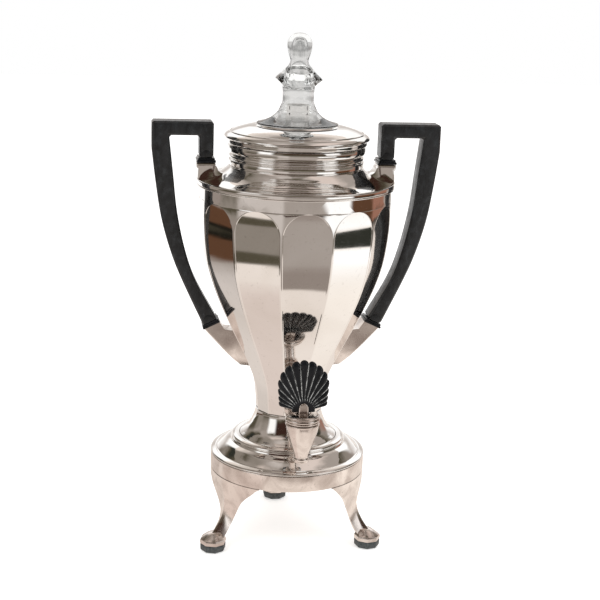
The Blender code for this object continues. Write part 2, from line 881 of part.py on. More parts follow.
def stand_on_axis():
    """Hangs every piece and cutter on one empty that stands at the foot of the urn's axis."""
    axis = bpy.data.objects.new("urn_axis", None)
    axis.location.y = AXIS_Y * MM
    bpy.context.scene.collection.objects.link(axis)
    for obj in [*PARTS.objects, *CUTTERS.objects]:
        obj.parent = axis


def main():
    make_body()
    make_shoulder()
    bottom_plate = make_base()
    make_legs(bottom_plate)
    clamp = make_heater()
    make_inlet(bottom_plate, clamp)
    solid, cap = envelope("cut_body_envelope", GAP)
    build_handles(solid, cap)
    make_spigot(solid)
    make_brewing_parts()
    make_lid()
    make_glass()
    stand_on_axis()


main()
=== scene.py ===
"""Looks for the coffee percolator urn: fine shells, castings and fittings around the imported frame.

Lengths in the profiles are millimetres, measured from the urn's own axis and the floor."""

import json
from math import atan, atan2, cos, degrees, pi, radians, sin, sqrt, tan

import bmesh
import bpy
from mathutils import Matrix, Vector, noise

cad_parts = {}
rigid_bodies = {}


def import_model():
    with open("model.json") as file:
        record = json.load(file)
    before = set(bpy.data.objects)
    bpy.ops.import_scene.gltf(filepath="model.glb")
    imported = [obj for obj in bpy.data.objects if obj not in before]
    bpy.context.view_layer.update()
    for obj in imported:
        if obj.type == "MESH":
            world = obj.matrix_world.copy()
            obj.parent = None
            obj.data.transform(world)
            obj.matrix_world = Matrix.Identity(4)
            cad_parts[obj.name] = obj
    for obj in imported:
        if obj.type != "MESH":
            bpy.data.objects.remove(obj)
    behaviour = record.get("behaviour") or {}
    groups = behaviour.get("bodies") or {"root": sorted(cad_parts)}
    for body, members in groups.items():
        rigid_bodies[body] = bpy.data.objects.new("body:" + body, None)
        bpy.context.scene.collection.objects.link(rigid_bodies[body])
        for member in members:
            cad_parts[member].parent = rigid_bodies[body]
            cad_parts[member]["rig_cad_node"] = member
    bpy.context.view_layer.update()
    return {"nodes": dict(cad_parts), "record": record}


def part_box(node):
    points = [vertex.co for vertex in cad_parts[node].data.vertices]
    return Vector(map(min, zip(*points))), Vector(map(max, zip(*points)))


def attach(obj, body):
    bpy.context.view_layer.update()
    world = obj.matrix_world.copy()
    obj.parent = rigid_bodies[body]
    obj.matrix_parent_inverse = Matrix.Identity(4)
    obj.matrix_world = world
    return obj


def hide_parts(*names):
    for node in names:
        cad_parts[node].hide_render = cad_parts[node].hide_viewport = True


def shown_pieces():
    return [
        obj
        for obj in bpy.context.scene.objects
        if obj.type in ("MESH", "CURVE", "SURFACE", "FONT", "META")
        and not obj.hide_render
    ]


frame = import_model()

MM = 0.001
SIDES = {"left": -1.0, "right": 1.0}
LEG_ANGLES = {"front_left": -60.0, "front_right": 60.0, "rear": 180.0}


def middle(node):
    low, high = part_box(node)
    return (low + high) / 2


AXIS = Vector((middle("lid").x, middle("lid").y, 0.0))
SPIGOT = Vector((middle("spigot_cap").x, middle("spigot_cap").y, 0.0))
SEAM_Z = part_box("urn_body")[0].z / MM
BODY_TOP_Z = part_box("urn_body")[1].z / MM
NECK_TOP_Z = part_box("neck_and_shoulder")[1].z / MM
SHOULDER_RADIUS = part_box("neck_and_shoulder")[1].x / MM
BAND_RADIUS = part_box("plinth_band")[1].x / MM
BAND_LOW_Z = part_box("plinth_band")[0].z / MM
BAND_HIGH_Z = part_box("plinth_band")[1].z / MM
PAD_TOP_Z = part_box("foot_pad_rear")[1].z / MM
STEM_TOP_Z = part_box("pump_stem")[1].z / MM
BASKET_LOW_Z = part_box("coffee_basket")[0].z / MM
BASKET_TOP_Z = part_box("coffee_basket")[1].z / MM
FOOT_REACH = (middle("foot_pad_rear").y - AXIS.y) / MM
HANDLE_TOP_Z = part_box("handle_right")[1].z / MM
HANDLE_OUT_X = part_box("handle_right")[1].x / MM
SHANK_Z = middle("shank_nut").z / MM

# The body's sides. LAND is the rounded ridge's width in degrees, and RECESS is how far the middle
# SUNK_SHARE of each flat lies below the ridges, in mm.
FACETS = 12
HALF_FACET = 180.0 / FACETS
LAND = 0.7
RECESS = 0.16
SUNK_SHARE = 0.98
ARCH_TOP_Z = 277.0
ARCH_FOOT_Z = 258.0
WALL = 1.3

# Ridge radius of the body at each height.
BODY_PROFILE = [
    (SEAM_Z, 26.4),
    (113.0, 26.8),
    (129.5, 29.2),
    (152.0, 38.6),
    (177.0, 51.0),
    (205.0, 63.4),
    (225.0, 69.8),
    (244.0, 72.9),
    (263.0, 74.2),
    (BODY_TOP_Z, 74.5),
]


# ---- materials


class Shader:
    """A Principled material and the few node patterns that its surface is made of."""

    def __init__(self, name, colour, rough, metal=0.0):
        self.material = bpy.data.materials.new(name)
        self.material.use_nodes = True
        self.nodes = self.material.node_tree.nodes
        self.links = self.material.node_tree.links
        self.bsdf = self.nodes["Principled BSDF"]
        self.bsdf.inputs["Base Color"].default_value = (*colour, 1.0)
        self.bsdf.inputs["Roughness"].default_value = rough
        self.bsdf.inputs["Metallic"].default_value = metal
        self.coordinates = self.nodes.new("ShaderNodeTexCoord").outputs["Object"]

    def node(self, kind, inputs, **settings):
        """Adds a node. Its inputs, by name or place, are values or outputs of other nodes."""
        node = self.nodes.new("ShaderNode" + kind)
        for key, value in settings.items():
            setattr(node, key, value)
        for key, value in inputs.items():
            if isinstance(value, bpy.types.NodeSocket):
                self.links.new(value, node.inputs[key])
            else:
                node.inputs[key].default_value = value
        return node

    def noise(self, scale, detail=4.0, stretch=(1, 1, 1), distortion=0.0):
        mapping = self.node("Mapping", {"Vector": self.coordinates, "Scale": stretch})
        inputs = {"Vector": mapping.outputs["Vector"], "Scale": scale, "Detail": detail}
        return self.node("TexNoise", {**inputs, "Distortion": distortion}).outputs["Fac"]

    def rings(self, scale):
        """Fine turning marks about the piece's own Z axis."""
        inputs = {"Vector": self.coordinates, "Scale": scale, "Distortion": 0.6, "Detail": 2.0}
        wave = self.node("TexWave", inputs, wave_type="RINGS", rings_direction="Z")
        return wave.outputs["Fac"]

    def range(self, value, low, high, first=0.3, last=0.7):
        inputs = {"Value": value, "From Min": first, "From Max": last, "To Min": low, "To Max": high}
        return self.node("MapRange", inputs).outputs["Result"]

    def colours(self, value, stops):
        ramp = self.node("ValToRGB", {"Fac": value})
        elements = ramp.color_ramp.elements
        while len(elements) < len(stops):
            elements.new(0.5)
        for element, (place, colour) in zip(elements, stops):
            element.position = place
            element.color = (*colour, 1.0)
        return ramp.outputs["Color"]

    def blend(self, share, first, second):
        inputs = {"Factor": share, "A": first, "B": second}
        return self.node("Mix", inputs, data_type="RGBA").outputs["Result"]

    def maths(self, operation, *values):
        """A Math node on sockets or plain numbers."""
        return self.node("Math", dict(enumerate(values)), operation=operation).outputs["Value"]

    def total(self, first, second):
        return self.maths("ADD", first, second)

    def set(self, socket, value):
        self.links.new(value, self.bsdf.inputs[socket])

    def bump(self, value, depth_mm, strength=1.0):
        inputs = {"Height": value, "Strength": strength, "Distance": depth_mm * MM}
        self.set("Normal", self.node("Bump", inputs).outputs["Normal"])


def silver(name, light, dark, rough, swing, wave_mm, cloud=14.0):
    """Plated silver: a cloudy tarnish, small specks, rubbed roughness and a faint waviness."""
    s = Shader(name, light, rough, 1.0)
    clouds = s.noise(cloud, 6.0, distortion=0.6)
    specks = s.noise(360.0, 6.0)
    tone = s.colours(clouds, [(0.34, dark), (0.62, light)])
    speckled = s.colours(specks, [(0.30, tuple(0.80 * c for c in dark)), (0.44, light)])
    s.set("Base Color", s.blend(s.range(specks, 0.4, 0.0, 0.28, 0.44), tone, speckled))
    rubbed = s.noise(90.0, 5.0, stretch=(1, 1, 0.35))
    s.set("Roughness", s.total(s.range(clouds, rough + swing, rough), s.range(rubbed, swing, 0.0)))
    s.bump(s.noise(26.0, 2.0), wave_mm)
    return s.material


def black_wood():
    """Black lacquer gone leathery: pitted, with worn paler patches."""
    s = Shader("black_wood", (0.035, 0.036, 0.038), 0.42)
    grain = s.noise(60.0, 8.0, stretch=(3, 3, 0.6), distortion=0.8)
    pits = s.noise(230.0, 5.0, stretch=(1, 1, 0.7), distortion=0.5)
    worn = s.colours(grain, [(0.3, (0.007, 0.0075, 0.008)), (0.7, (0.016, 0.017, 0.018))])
    pitted = s.colours(pits, [(0.35, (0.004, 0.004, 0.005)), (0.66, (0.022, 0.024, 0.026))])
    s.set("Base Color", s.blend(s.range(pits, 0.15, 0.85), worn, pitted))
    s.set("Roughness", s.range(pits, 0.40, 0.20))
    s.bump(s.total(pits, grain), 0.18, 0.6)
    return s.material


def bakelite(name="black_bakelite"):
    s = Shader(name, (0.006, 0.007, 0.008), 0.12)
    swirl = s.noise(45.0, 5.0, distortion=1.6)
    s.set("Base Color", s.colours(swirl, [(0.35, (0.003, 0.004, 0.005)), (0.7, (0.012, 0.012, 0.014))]))
    s.set("Roughness", s.range(s.noise(180.0, 4.0), 0.09, 0.20))
    s.bump(s.noise(260.0, 3.0), 0.02, 0.5)
    s.bsdf.inputs["Specular IOR Level"].default_value = 0.3
    return s


def fluted_bakelite():
    """The fan's black, with pale lines painted along the creases between the petals: painted highlights
    standing in for light caught on the crease edges.
    """
    s = bakelite("black_bakelite_fluted")
    split = s.node("SeparateXYZ", {"Vector": s.coordinates})
    across = split.outputs["X"]
    above = s.maths("SUBTRACT", split.outputs["Z"], ROOT_Z * MM)
    reach = s.maths("SQRT", s.total(s.maths("POWER", across, 2.0), s.maths("POWER", above, 2.0)))
    turn = s.maths("DIVIDE", s.maths("ARCTAN2", across, above), FLUTE_ANGLE)
    beside = s.maths("ABSOLUTE", s.maths("SUBTRACT", s.maths("FRACT", turn), 0.5))
    distance = s.maths("MULTIPLY", beside, s.maths("MULTIPLY", reach, FLUTE_ANGLE))
    line = s.range(distance, 1.0, 0.0, 0.12 * MM, 0.34 * MM)
    near_root = s.range(reach, 0.0, 1.0, 8.5 * MM, 11.0 * MM)
    patchy = s.range(s.noise(300.0, 3.0), 0.35, 1.0, 0.35, 0.6)
    share = s.maths("MULTIPLY", s.maths("MULTIPLY", line, near_root), patchy)
    black = s.bsdf.inputs["Base Color"].links[0].from_socket
    # Painted highlight: the pale crease lines stand in for light caught on the crease edges.
    painted_crease_highlight = s.colours(patchy, [(0.0, (0.20, 0.20, 0.19)), (1.0, (0.60, 0.60, 0.58))])
    s.set("Base Color", s.blend(share, black, painted_crease_highlight))
    return s.material


def foot_black():
    s = Shader("black_pad", (0.03, 0.034, 0.036), 0.5)
    grit = s.noise(520.0, 5.0)
    s.set("Base Color", s.colours(grit, [(0.3, (0.018, 0.022, 0.024)), (0.7, (0.075, 0.085, 0.085))]))
    s.set("Roughness", s.range(grit, 0.36, 0.7))
    s.bump(grit, 0.12, 0.6)
    return s.material


def spun(name, light, dark, rough):
    """Turned or spun metal, with fine rings about its axis and a dull film."""
    s = Shader(name, light, rough, 1.0)
    film = s.noise(30.0, 6.0)
    s.set("Base Color", s.colours(film, [(0.32, dark), (0.66, light)]))
    marks = s.rings(260.0)
    s.set("Roughness", s.total(s.range(film, rough, rough + 0.10), s.range(marks, 0.0, 0.08, 0.0, 1.0)))
    s.bump(marks, 0.02, 0.5)
    return s.material


def grainy(name, light, dark, rough, scale, depth_mm):
    s = Shader(name, light, rough)
    grain = s.noise(scale, 6.0)
    s.set("Base Color", s.colours(grain, [(0.3, dark), (0.7, light)]))
    s.set("Roughness", s.range(grain, rough - 0.1, rough + 0.1))
    s.bump(grain, depth_mm, 0.7)
    return s.material


def clear_glass():
    s = Shader("clear_glass", (0.985, 0.99, 0.985), 0.0)
    s.bsdf.inputs["Transmission Weight"].default_value = 1.0
    s.bsdf.inputs["IOR"].default_value = 1.48
    s.set("Roughness", s.range(s.noise(140.0, 4.0), 0.0, 0.03, 0.5, 0.8))
    s.bump(s.noise(55.0, 3.0), 0.06, 0.35)
    depth = s.node("VolumeAbsorption", {"Color": (0.72, 0.73, 0.73, 1.0), "Density": 65.0})
    s.links.new(depth.outputs["Volume"], s.nodes["Material Output"].inputs["Volume"])
    return s.material


MATERIALS = {
    "polished_silver": silver("polished_silver", (0.95, 0.94, 0.93), (0.86, 0.84, 0.815), 0.03, 0.03, 0.05),
    "satin_silver": silver("satin_silver", (0.93, 0.87, 0.83), (0.62, 0.555, 0.52), 0.10, 0.10, 0.07, 60.0),
    "black_wood": black_wood(),
    "black_bakelite": bakelite().material,
    "black_pad": foot_black(),
    "aluminium": spun("aluminium", (0.80, 0.80, 0.79), (0.62, 0.62, 0.61), 0.28),
    "plated_brass": spun("plated_brass", (0.78, 0.69, 0.47), (0.55, 0.46, 0.30), 0.26),
    "white_ceramic": grainy("white_ceramic", (0.84, 0.82, 0.77), (0.70, 0.67, 0.61), 0.55, 240.0, 0.05),
    "fibre": grainy("fibre", (0.30, 0.15, 0.10), (0.16, 0.07, 0.045), 0.8, 600.0, 0.12),
    "clear_glass": clear_glass(),
}


# ---- shapes


def finish_piece(obj, slot, body, nodes, sharp=32.0):
    """Gives a finished mesh the material named by its slot and its body, shades it smooth, and hides the
    nodes that it stands for.
    """
    obj.data.materials.clear()
    obj.data.materials.append(MATERIALS[slot])
    obj.data.shade_smooth()
    obj.data.set_sharp_from_angle(angle=radians(sharp))
    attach(obj, body)
    if nodes:
        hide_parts(*nodes)
    return obj


def mesh_object(name, bm, place=AXIS):
    mesh = bpy.data.meshes.new(name)
    bm.to_mesh(mesh)
    bm.free()
    obj = bpy.data.objects.new(name, mesh)
    bpy.context.scene.collection.objects.link(obj)
    if isinstance(place, Matrix):
        obj.matrix_world = place
    else:
        obj.location = place
    return obj


def bake_modifiers(obj):
    """Applies the modifiers, so that what rides on the body is a plain mesh."""
    graph = bpy.context.evaluated_depsgraph_get()
    made = bpy.data.meshes.new_from_object(obj.evaluated_get(graph))
    obj.modifiers.clear()
    obj.data = made
    return obj


def combine(obj, others, operation):
    """Joins or cuts obj with other closed meshes, which are used up."""
    bpy.context.view_layer.update()
    for other in others:
        modifier = obj.modifiers.new(operation.lower(), "BOOLEAN")
        modifier.object = other
        modifier.operation = operation
    bake_modifiers(obj)
    for other in others:
        bpy.data.objects.remove(other, do_unlink=True)
    return obj


def soften(obj, width, segments=3, angle=40.0):
    bevel = obj.modifiers.new("soft_edges", "BEVEL")
    bevel.width = width * MM
    bevel.segments = segments
    bevel.limit_method = "ANGLE"
    bevel.angle_limit = radians(angle)
    return bake_modifiers(obj)


def smooth_curve(points, per_span):
    """A Catmull-Rom curve through points of any dimension."""
    ends = [points[0], *points, points[-1]]
    curve = []
    for i in range(len(points) - 1):
        before, start, end, after = (Vector(p) for p in ends[i : i + 4])
        for step in range(per_span):
            t = step / per_span
            bend = (2 * before - 5 * start + 4 * end - after) * t * t
            twist = (3 * start - 3 * end + after - before) * t * t * t
            curve.append(tuple((2 * start + (end - before) * t + bend + twist) / 2))
    return [*curve, tuple(points[-1])]


def rounded(points, radius, closed=False, steps=4):
    """Rounds the corners of an outline of 2-D points."""
    count = len(points)
    result = []
    for i, point in enumerate(points):
        if not closed and i in (0, count - 1):
            result.append(point)
            continue
        here = Vector(point)
        back = Vector(points[i - 1]) - here
        on = Vector(points[(i + 1) % count]) - here
        if back.length < 1e-6 or on.length < 1e-6 or back.angle(on) > radians(168):
            result.append(point)
            continue
        start = here + back.normalized() * min(radius, 0.42 * back.length)
        end = here + on.normalized() * min(radius, 0.42 * on.length)
        for k in range(steps + 1):
            t = k / steps
            result.append(tuple(start * (1 - t) ** 2 + here * 2 * t * (1 - t) + end * t * t))
    return result


def arc(centre, radius, start, end, count):
    turns = [radians(start + (end - start) * i / (count - 1)) for i in range(count)]
    return [(centre[0] + radius * cos(a), centre[1] + radius * sin(a)) for a in turns]


def skin(bm, rings, around=True):
    """Joins neighbouring rows of vertices with faces. A row of one vertex is a tip."""
    for upper, lower in zip(rings, rings[1:]):
        count = max(len(upper), len(lower))
        for i in range(count if around else count - 1):
            j = (i + 1) % count
            corners = []
            for vertex in (
                upper[i % len(upper)],
                upper[j % len(upper)],
                lower[j % len(lower)],
                lower[i % len(lower)],
            ):
                if vertex not in corners:
                    corners.append(vertex)
            if len(corners) > 2:
                bm.faces.new(corners)


def turned(name, profile, place=AXIS, steps=128, closed=True, sides=0, bulge=None):
    """Turns an outline of (radius, height) points about Z. An open outline ends on the axis.

    With sides, bulge(radius, height) is the share of a polygon's shape that the section takes."""
    bm = bmesh.new()
    rings = []
    for radius, height in profile:
        if radius < 1e-6:
            rings.append([bm.verts.new((0, 0, height * MM))])
            continue
        ring = []
        for k in range(steps):
            angle = 2 * pi * k / steps
            reach = radius
            if sides:
                fold = (angle + pi / sides) % (2 * pi / sides) - pi / sides
                polygon = radius * cos(pi / sides) / cos(fold)
                share = bulge(radius, height)
                reach = radius * (1 - share) + polygon * share
            ring.append(bm.verts.new((reach * cos(angle) * MM, reach * sin(angle) * MM, height * MM)))
        rings.append(ring)
    skin(bm, [*rings, rings[0]] if closed else rings)
    bmesh.ops.recalc_face_normals(bm, faces=bm.faces)
    return mesh_object(name, bm, place)


def loft(name, sections, place=AXIS):
    """Skins closed loops of the same number of points and caps both ends."""
    bm = bmesh.new()
    rings = [[bm.verts.new(Vector(point) * MM) for point in section] for section in sections]
    skin(bm, rings)
    bm.faces.new(rings[0])
    bm.faces.new(rings[-1])
    bmesh.ops.recalc_face_normals(bm, faces=bm.faces)
    return mesh_object(name, bm, place)


def slab(name, outline, depth, place=AXIS):
    """An upright slab from an outline of (x, z) points, depth thick about y = 0."""
    return loft(name, [[(x, s * depth / 2, z) for x, z in outline] for s in (-1, 1)], place)


def spin(angle):
    """Turns local +X towards this angle, counted from the front towards the right."""
    return Matrix.Translation(AXIS) @ Matrix.Rotation(radians(angle - 90), 4, "Z")


def lying(centre):
    """Lays a turned piece down, with its axis pointing to the front."""
    return Matrix.Translation(centre) @ Matrix.Rotation(pi / 2, 4, "X")


def flip(sign):
    return Matrix.Translation(AXIS) @ Matrix.Rotation(0 if sign > 0 else pi, 4, "Z")


# ---- the vessel


def ridge_radius(height):
    last = len(BODY_PROFILE) - 1
    k = max(i for i in range(last) if BODY_PROFILE[i][0] <= height or i == 0)
    (low, r_low), (high, r_high) = BODY_PROFILE[k], BODY_PROFILE[k + 1]

    def slope(i):
        a, b = max(i - 1, 0), min(i + 1, last)
        return (BODY_PROFILE[b][1] - BODY_PROFILE[a][1]) / (BODY_PROFILE[b][0] - BODY_PROFILE[a][0])

    span = high - low
    t = (height - low) / span
    start = (2 * t**3 - 3 * t**2 + 1) * r_low + (t**3 - 2 * t**2 + t) * span * slope(k)
    return start + (3 * t**2 - 2 * t**3) * r_high + (t**3 - t**2) * span * slope(k + 1)


def flat_edge(height):
    """Half the angle of a flat, which closes to a round arch and opens again, unseen, above."""
    full = HALF_FACET - LAND
    rise = (height - ARCH_FOOT_Z) / (ARCH_TOP_Z - ARCH_FOOT_Z)
    if rise <= 0:
        return full
    return full * sqrt(max(1 - rise * rise, 0.0))


def body_radius(angle, height):
    """The body's outer radius at an angle in degrees from the middle of a flat.

    Beside each flat the surface turns over a narrow rounded ridge, LAND degrees wide."""
    radius = ridge_radius(height)
    edge = flat_edge(height)
    fold = abs((angle + HALF_FACET) % (2 * HALF_FACET) - HALF_FACET)
    if fold < edge:
        sunk = RECESS * min(edge / 3, 1.0) if fold < SUNK_SHARE * edge else 0.0
        return radius * cos(radians(edge)) / cos(radians(fold)) - sunk
    turn = min((fold - edge) / LAND, 1.0)
    return radius * (1 + tan(radians(edge)) * radians(LAND) * (turn - turn * turn / 2))


def body_levels():
    levels = [SEAM_Z + (ARCH_FOOT_Z - SEAM_Z) * i / 70 for i in range(70)]
    arch = ARCH_TOP_Z - ARCH_FOOT_Z
    levels += [ARCH_FOOT_Z + arch * sin(pi / 2 * i / 28) for i in range(28)]
    return levels + [ARCH_TOP_Z + (BODY_TOP_Z - ARCH_TOP_Z) * i / 5 for i in range(6)]


# Where the columns of points run across a flat: the outer two on the ridges, the rest on the
# sunk middle.
COLUMNS = [-1.0, -0.97, -0.65, -0.33, 0.0, 0.33, 0.65, 0.97, 1.0]


def make_body():
    bm = bmesh.new()
    rings = []
    for height in body_levels():
        column_edge = max(flat_edge(height), 0.4)
        if height > ARCH_TOP_Z:
            column_edge = 0.4 + (height - ARCH_TOP_Z)
        gap = 2 * (HALF_FACET - column_edge)
        fillet = min(LAND, 0.45 * gap)
        offsets = [column_edge * share for share in COLUMNS]
        offsets += [column_edge + fillet * i / 4 for i in range(1, 5)]
        offsets += [HALF_FACET + (gap / 2 - fillet) * i / 3 for i in (-1, 0, 1)]
        offsets += [2 * HALF_FACET - column_edge - fillet * i / 4 for i in (4, 3, 2, 1)]
        ring = []
        for facet in range(FACETS):
            for offset in offsets:
                angle = radians(-90 + facet * 2 * HALF_FACET + offset)
                reach = body_radius(offset, height)
                ring.append(bm.verts.new((reach * cos(angle) * MM, reach * sin(angle) * MM, height * MM)))
        rings.append(ring)
    skin(bm, rings)
    bmesh.ops.recalc_face_normals(bm, faces=bm.faces)
    body = mesh_object("body_shell", bm)
    sheet = body.modifiers.new("sheet", "SOLIDIFY")
    sheet.thickness = WALL * MM
    sheet.offset = -1
    port = turned("port", [(0, 34), (4.9, 34), (4.9, 20), (0, 20)], closed=False, steps=32)
    port.matrix_world = lying(AXIS + Vector((0, 0, SHANK_Z * MM)))
    bpy.context.view_layer.update()
    bake_modifiers(body)
    combine(body, [port], "DIFFERENCE")
    finish_piece(body, "polished_silver", "urn", ["urn_body"], 7.0)


def make_neck():
    r, top = SHOULDER_RADIUS, NECK_TOP_Z
    throat = smooth_curve([(53.2, top - 1.0), (53.3, top - 3.0), (52.7, 312.6), (51.2, 311.0)], 6)
    ring = smooth_curve([(51.3, 310.0), (51.9, 309.2), (51.9, 308.2), (51.2, 307.4)], 5)
    cuff = [(50.5, 307.0), (51.5, 306.6), (52.1, 306.1), (52.2, 302.6), (51.7, 302.0)]
    scotia = [(51.9, 301.2), (52.7, 300.2), (54.8, 298.2), (58.4, 295.4), (63.4, 292.6), (68.8, 291.0)]
    shoulder = smooth_curve([*scotia, (73.6, 290.6), (r - 0.5, 291.3)], 7)
    band = [(r, 290.8), (r, 287.7), (r - 0.5, 287.3), (r, 286.9), (r - 0.3, 286.3), (r - 1.2, 286.3)]
    lip = [(52.4, top), (53.0, top - 0.2)]
    outer = [*lip, *throat, (50.5, 310.5), *ring, *cuff, (51.2, 301.6), *shoulder, *band]
    inner = [(r - 1.2, 288.7), (63.6, 288.7), (56.8, 291.6), (52.8, 296.8)]
    inner += [(49.4, 307.0), (51.9, top - 0.6)]
    neck = turned("neck_shell", rounded(outer + inner, 0.25, True, 2), steps=160)
    finish_piece(neck, "polished_silver", "urn", ["neck_and_shoulder"], 50.0)


def make_base():
    flare = [(26.4, SEAM_Z - 0.5), (26.9, 102.6), (28.7, 97.5), (32.0, 90.6), (36.2, 86.4)]
    trumpet = smooth_curve(flare, 8)
    outer = [(25.6, SEAM_Z - 0.2), *trumpet, (38.6, 84.9), (38.6, 83.6)]
    inner = [(30.9, 90.0), (27.0, 98.4), (25.2, SEAM_Z - 0.8)]
    pedestal = turned("pedestal_shell", rounded(outer + inner, 0.3, True, 2))
    finish_piece(pedestal, "polished_silver", "urn", ["pedestal"], 40.0)
    step = [(38.9, 84.7), (42.4, 84.9), (44.4, 84.1), (44.9, 82.9), (44.2, 82.2), (45.3, 81.6)]
    step.append((45.6, 80.6))
    ogee = smooth_curve([(45.8, 80.2), (49.8, 78.4), (53.8, 75.2), (56.6, 72.5)], 8)
    rim = [(57.4, 72.1), (58.2, 72.4), (61.0, 71.6), (62.0, 70.9), (BAND_RADIUS + 0.2, BAND_HIGH_Z + 0.3)]
    under = [(53.2, 71.4), (49.8, 76.0), (43.4, 79.6), (43.4, 83.1), (38.9, 83.5)]
    cover = turned("base_cover_shell", rounded([*step, *ogee, *rim, *under], 0.4, True, 3), steps=160)
    finish_piece(cover, "polished_silver", "urn", ["base_cover"], 40.0)
    r, low, high = BAND_RADIUS, BAND_LOW_Z, BAND_HIGH_Z
    hoop = [(r - 0.2, high), (r, high - 0.5), (r, low + 0.5), (r - 0.3, low), (r - 1.5, low)]
    flange = [(r - 1.5, high - 1.4), (56.4, high - 1.4), (56.4, high)]
    band = turned("plinth_band_ring", rounded(hoop + flange, 0.2, True, 2), steps=160)
    finish_piece(band, "satin_silver", "urn", ["plinth_band"], 40.0)
    disc = [(3.2, 58.2), (59.9, 58.2), (59.9, 57.0), (56.5, 57.0), (55.5, 57.4)]
    disc += [(30, 57.4), (29, 57.0), (3.2, 57.0)]
    plate = turned("bottom_plate_disc", disc, steps=96)
    finish_piece(plate, "aluminium", "urn", ["bottom_plate"])


# ---- legs


def leg_loop(height, crest, half_width, thickness, curl, samples=9):
    """One level of a leg: local x is outward. Its outer side has a ridge between hollow flanks."""
    radius = BAND_RADIUS
    loop = []
    for i in range(-samples, samples + 1):
        share = i / samples
        across = share * half_width
        bow = radius - sqrt(radius**2 - across**2)
        flank = thickness * (0.60 * abs(share) ** 0.62)
        loop.append((crest - curl * bow - (1 - curl) * flank, across, height))
    for i in range(samples - 1, -samples, -1):
        share = i / samples
        across = share * half_width * 0.94
        bow = radius - sqrt(radius**2 - across**2)
        belly = thickness * (0.62 + 0.38 * cos(share * pi / 2))
        loop.append((crest - curl * bow - curl * thickness - (1 - curl) * belly, across, height))
    return loop


def octagon(centre, radius, height):
    """A foot's section: eight sides, with a flat outward."""
    turns = [radians(45 * k + 22.5) for k in range(8)]
    return [(centre + radius * cos(a), radius * sin(a), height) for a in turns]


def make_legs():
    rows = [
        (56.5, 61.6, 33.2, 7.6, 1.0),
        (54.6, 61.6, 30.6, 7.6, 0.97),
        (51.0, 61.6, 27.4, 7.6, 0.86),
        (46.5, 61.6, 22.5, 7.6, 0.68),
        (40.5, 61.4, 17.0, 7.4, 0.44),
        (34.0, 61.5, 12.8, 7.6, 0.22),
        (27.5, 63.2, 9.6, 9.0, 0.06),
        (21.5, 66.5, 8.0, 10.8, 0.0),
        (17.0, 69.9, 7.6, 12.4, 0.0),
        (13.6, 72.8, 7.5, 13.6, 0.0),
        (10.4, 75.2, 7.2, 13.8, 0.0),
    ]
    dense = [(z, c, w, t, min(max(u, 0.0), 1.0)) for z, c, w, t, u in smooth_curve(rows, 6)]
    foot_levels = [(14.0, 69.6, 5.0), (12.6, 70.0, 7.0), (9.7, FOOT_REACH, 9.9), (9.1, FOOT_REACH, 10.3)]
    foot_levels += [(7.6, FOOT_REACH, 10.5), (PAD_TOP_Z + 0.3, FOOT_REACH, 10.1)]
    for name, angle in LEG_ANGLES.items():
        leg = loft(f"leg_casting_{name}", [leg_loop(*row) for row in dense], spin(angle))
        foot = loft("foot", [octagon(c, r, z) for z, c, r in foot_levels], spin(angle))
        combine(leg, [foot], "UNION")
        finish_piece(leg, "satin_silver", "urn", [f"leg_{name}"], 34.0)
        pad_levels = [(PAD_TOP_Z, 9.9), (PAD_TOP_Z - 0.5, 10.2), (1.2, 10.0), (0.3, 9.5), (0.0, 9.0)]
        pad = loft(f"pad_{name}", [octagon(FOOT_REACH, r, z) for z, r in pad_levels], spin(angle))
        well = turned("well", [(0, 2.6), (4.4, 2.6), (4.4, -1.0), (0, -1.0)], closed=False, steps=32)
        well.matrix_world = spin(angle) @ Matrix.Translation((FOOT_REACH * MM, 0, 0))
        combine(pad, [well], "DIFFERENCE")
        finish_piece(pad, "black_pad", "urn", [f"foot_pad_{name}"])


# ---- handles


HANDLE_DEPTH = 18.0
UPPER_SEAT_X = 69.8
FOOT_OUTER = (70.4, 176.6)
FOOT_INNER = (59.8, 181.6)


def lower_frame():
    outer, inner = Vector(FOOT_OUTER), Vector(FOOT_INNER)
    along = (outer - inner).normalized()
    return (outer + inner) / 2, along, Vector((along.y, -along.x))


def handle_outline():
    top, out = HANDLE_TOP_Z, HANDLE_OUT_X
    outside = [(out, 314), (107.6, 287), (103.2, 260), (95.8, 234), (87, 212), FOOT_OUTER]
    inside = [FOOT_INNER, (76.6, 212), (85.2, 237), (91.4, 266), (94.8, 296), (98, top - 10.6)]
    short_leg = [(75.2, top - 10.6), (75.2, 307.8), (64.4, 307.8)]
    return [(64.4, top), (out, top), *smooth_curve(outside, 9), *smooth_curve(inside, 9), *short_leg]


def body_x(y, height):
    """How far out the body's surface is beside the middle of the +X flat, at this y."""
    radius = ridge_radius(height)
    for _ in range(6):
        angle = degrees(atan(y / sqrt(max(radius**2 - y**2, 1.0))))
        radius = body_radius(angle, height)
    return sqrt(max(radius**2 - y**2, 1.0))


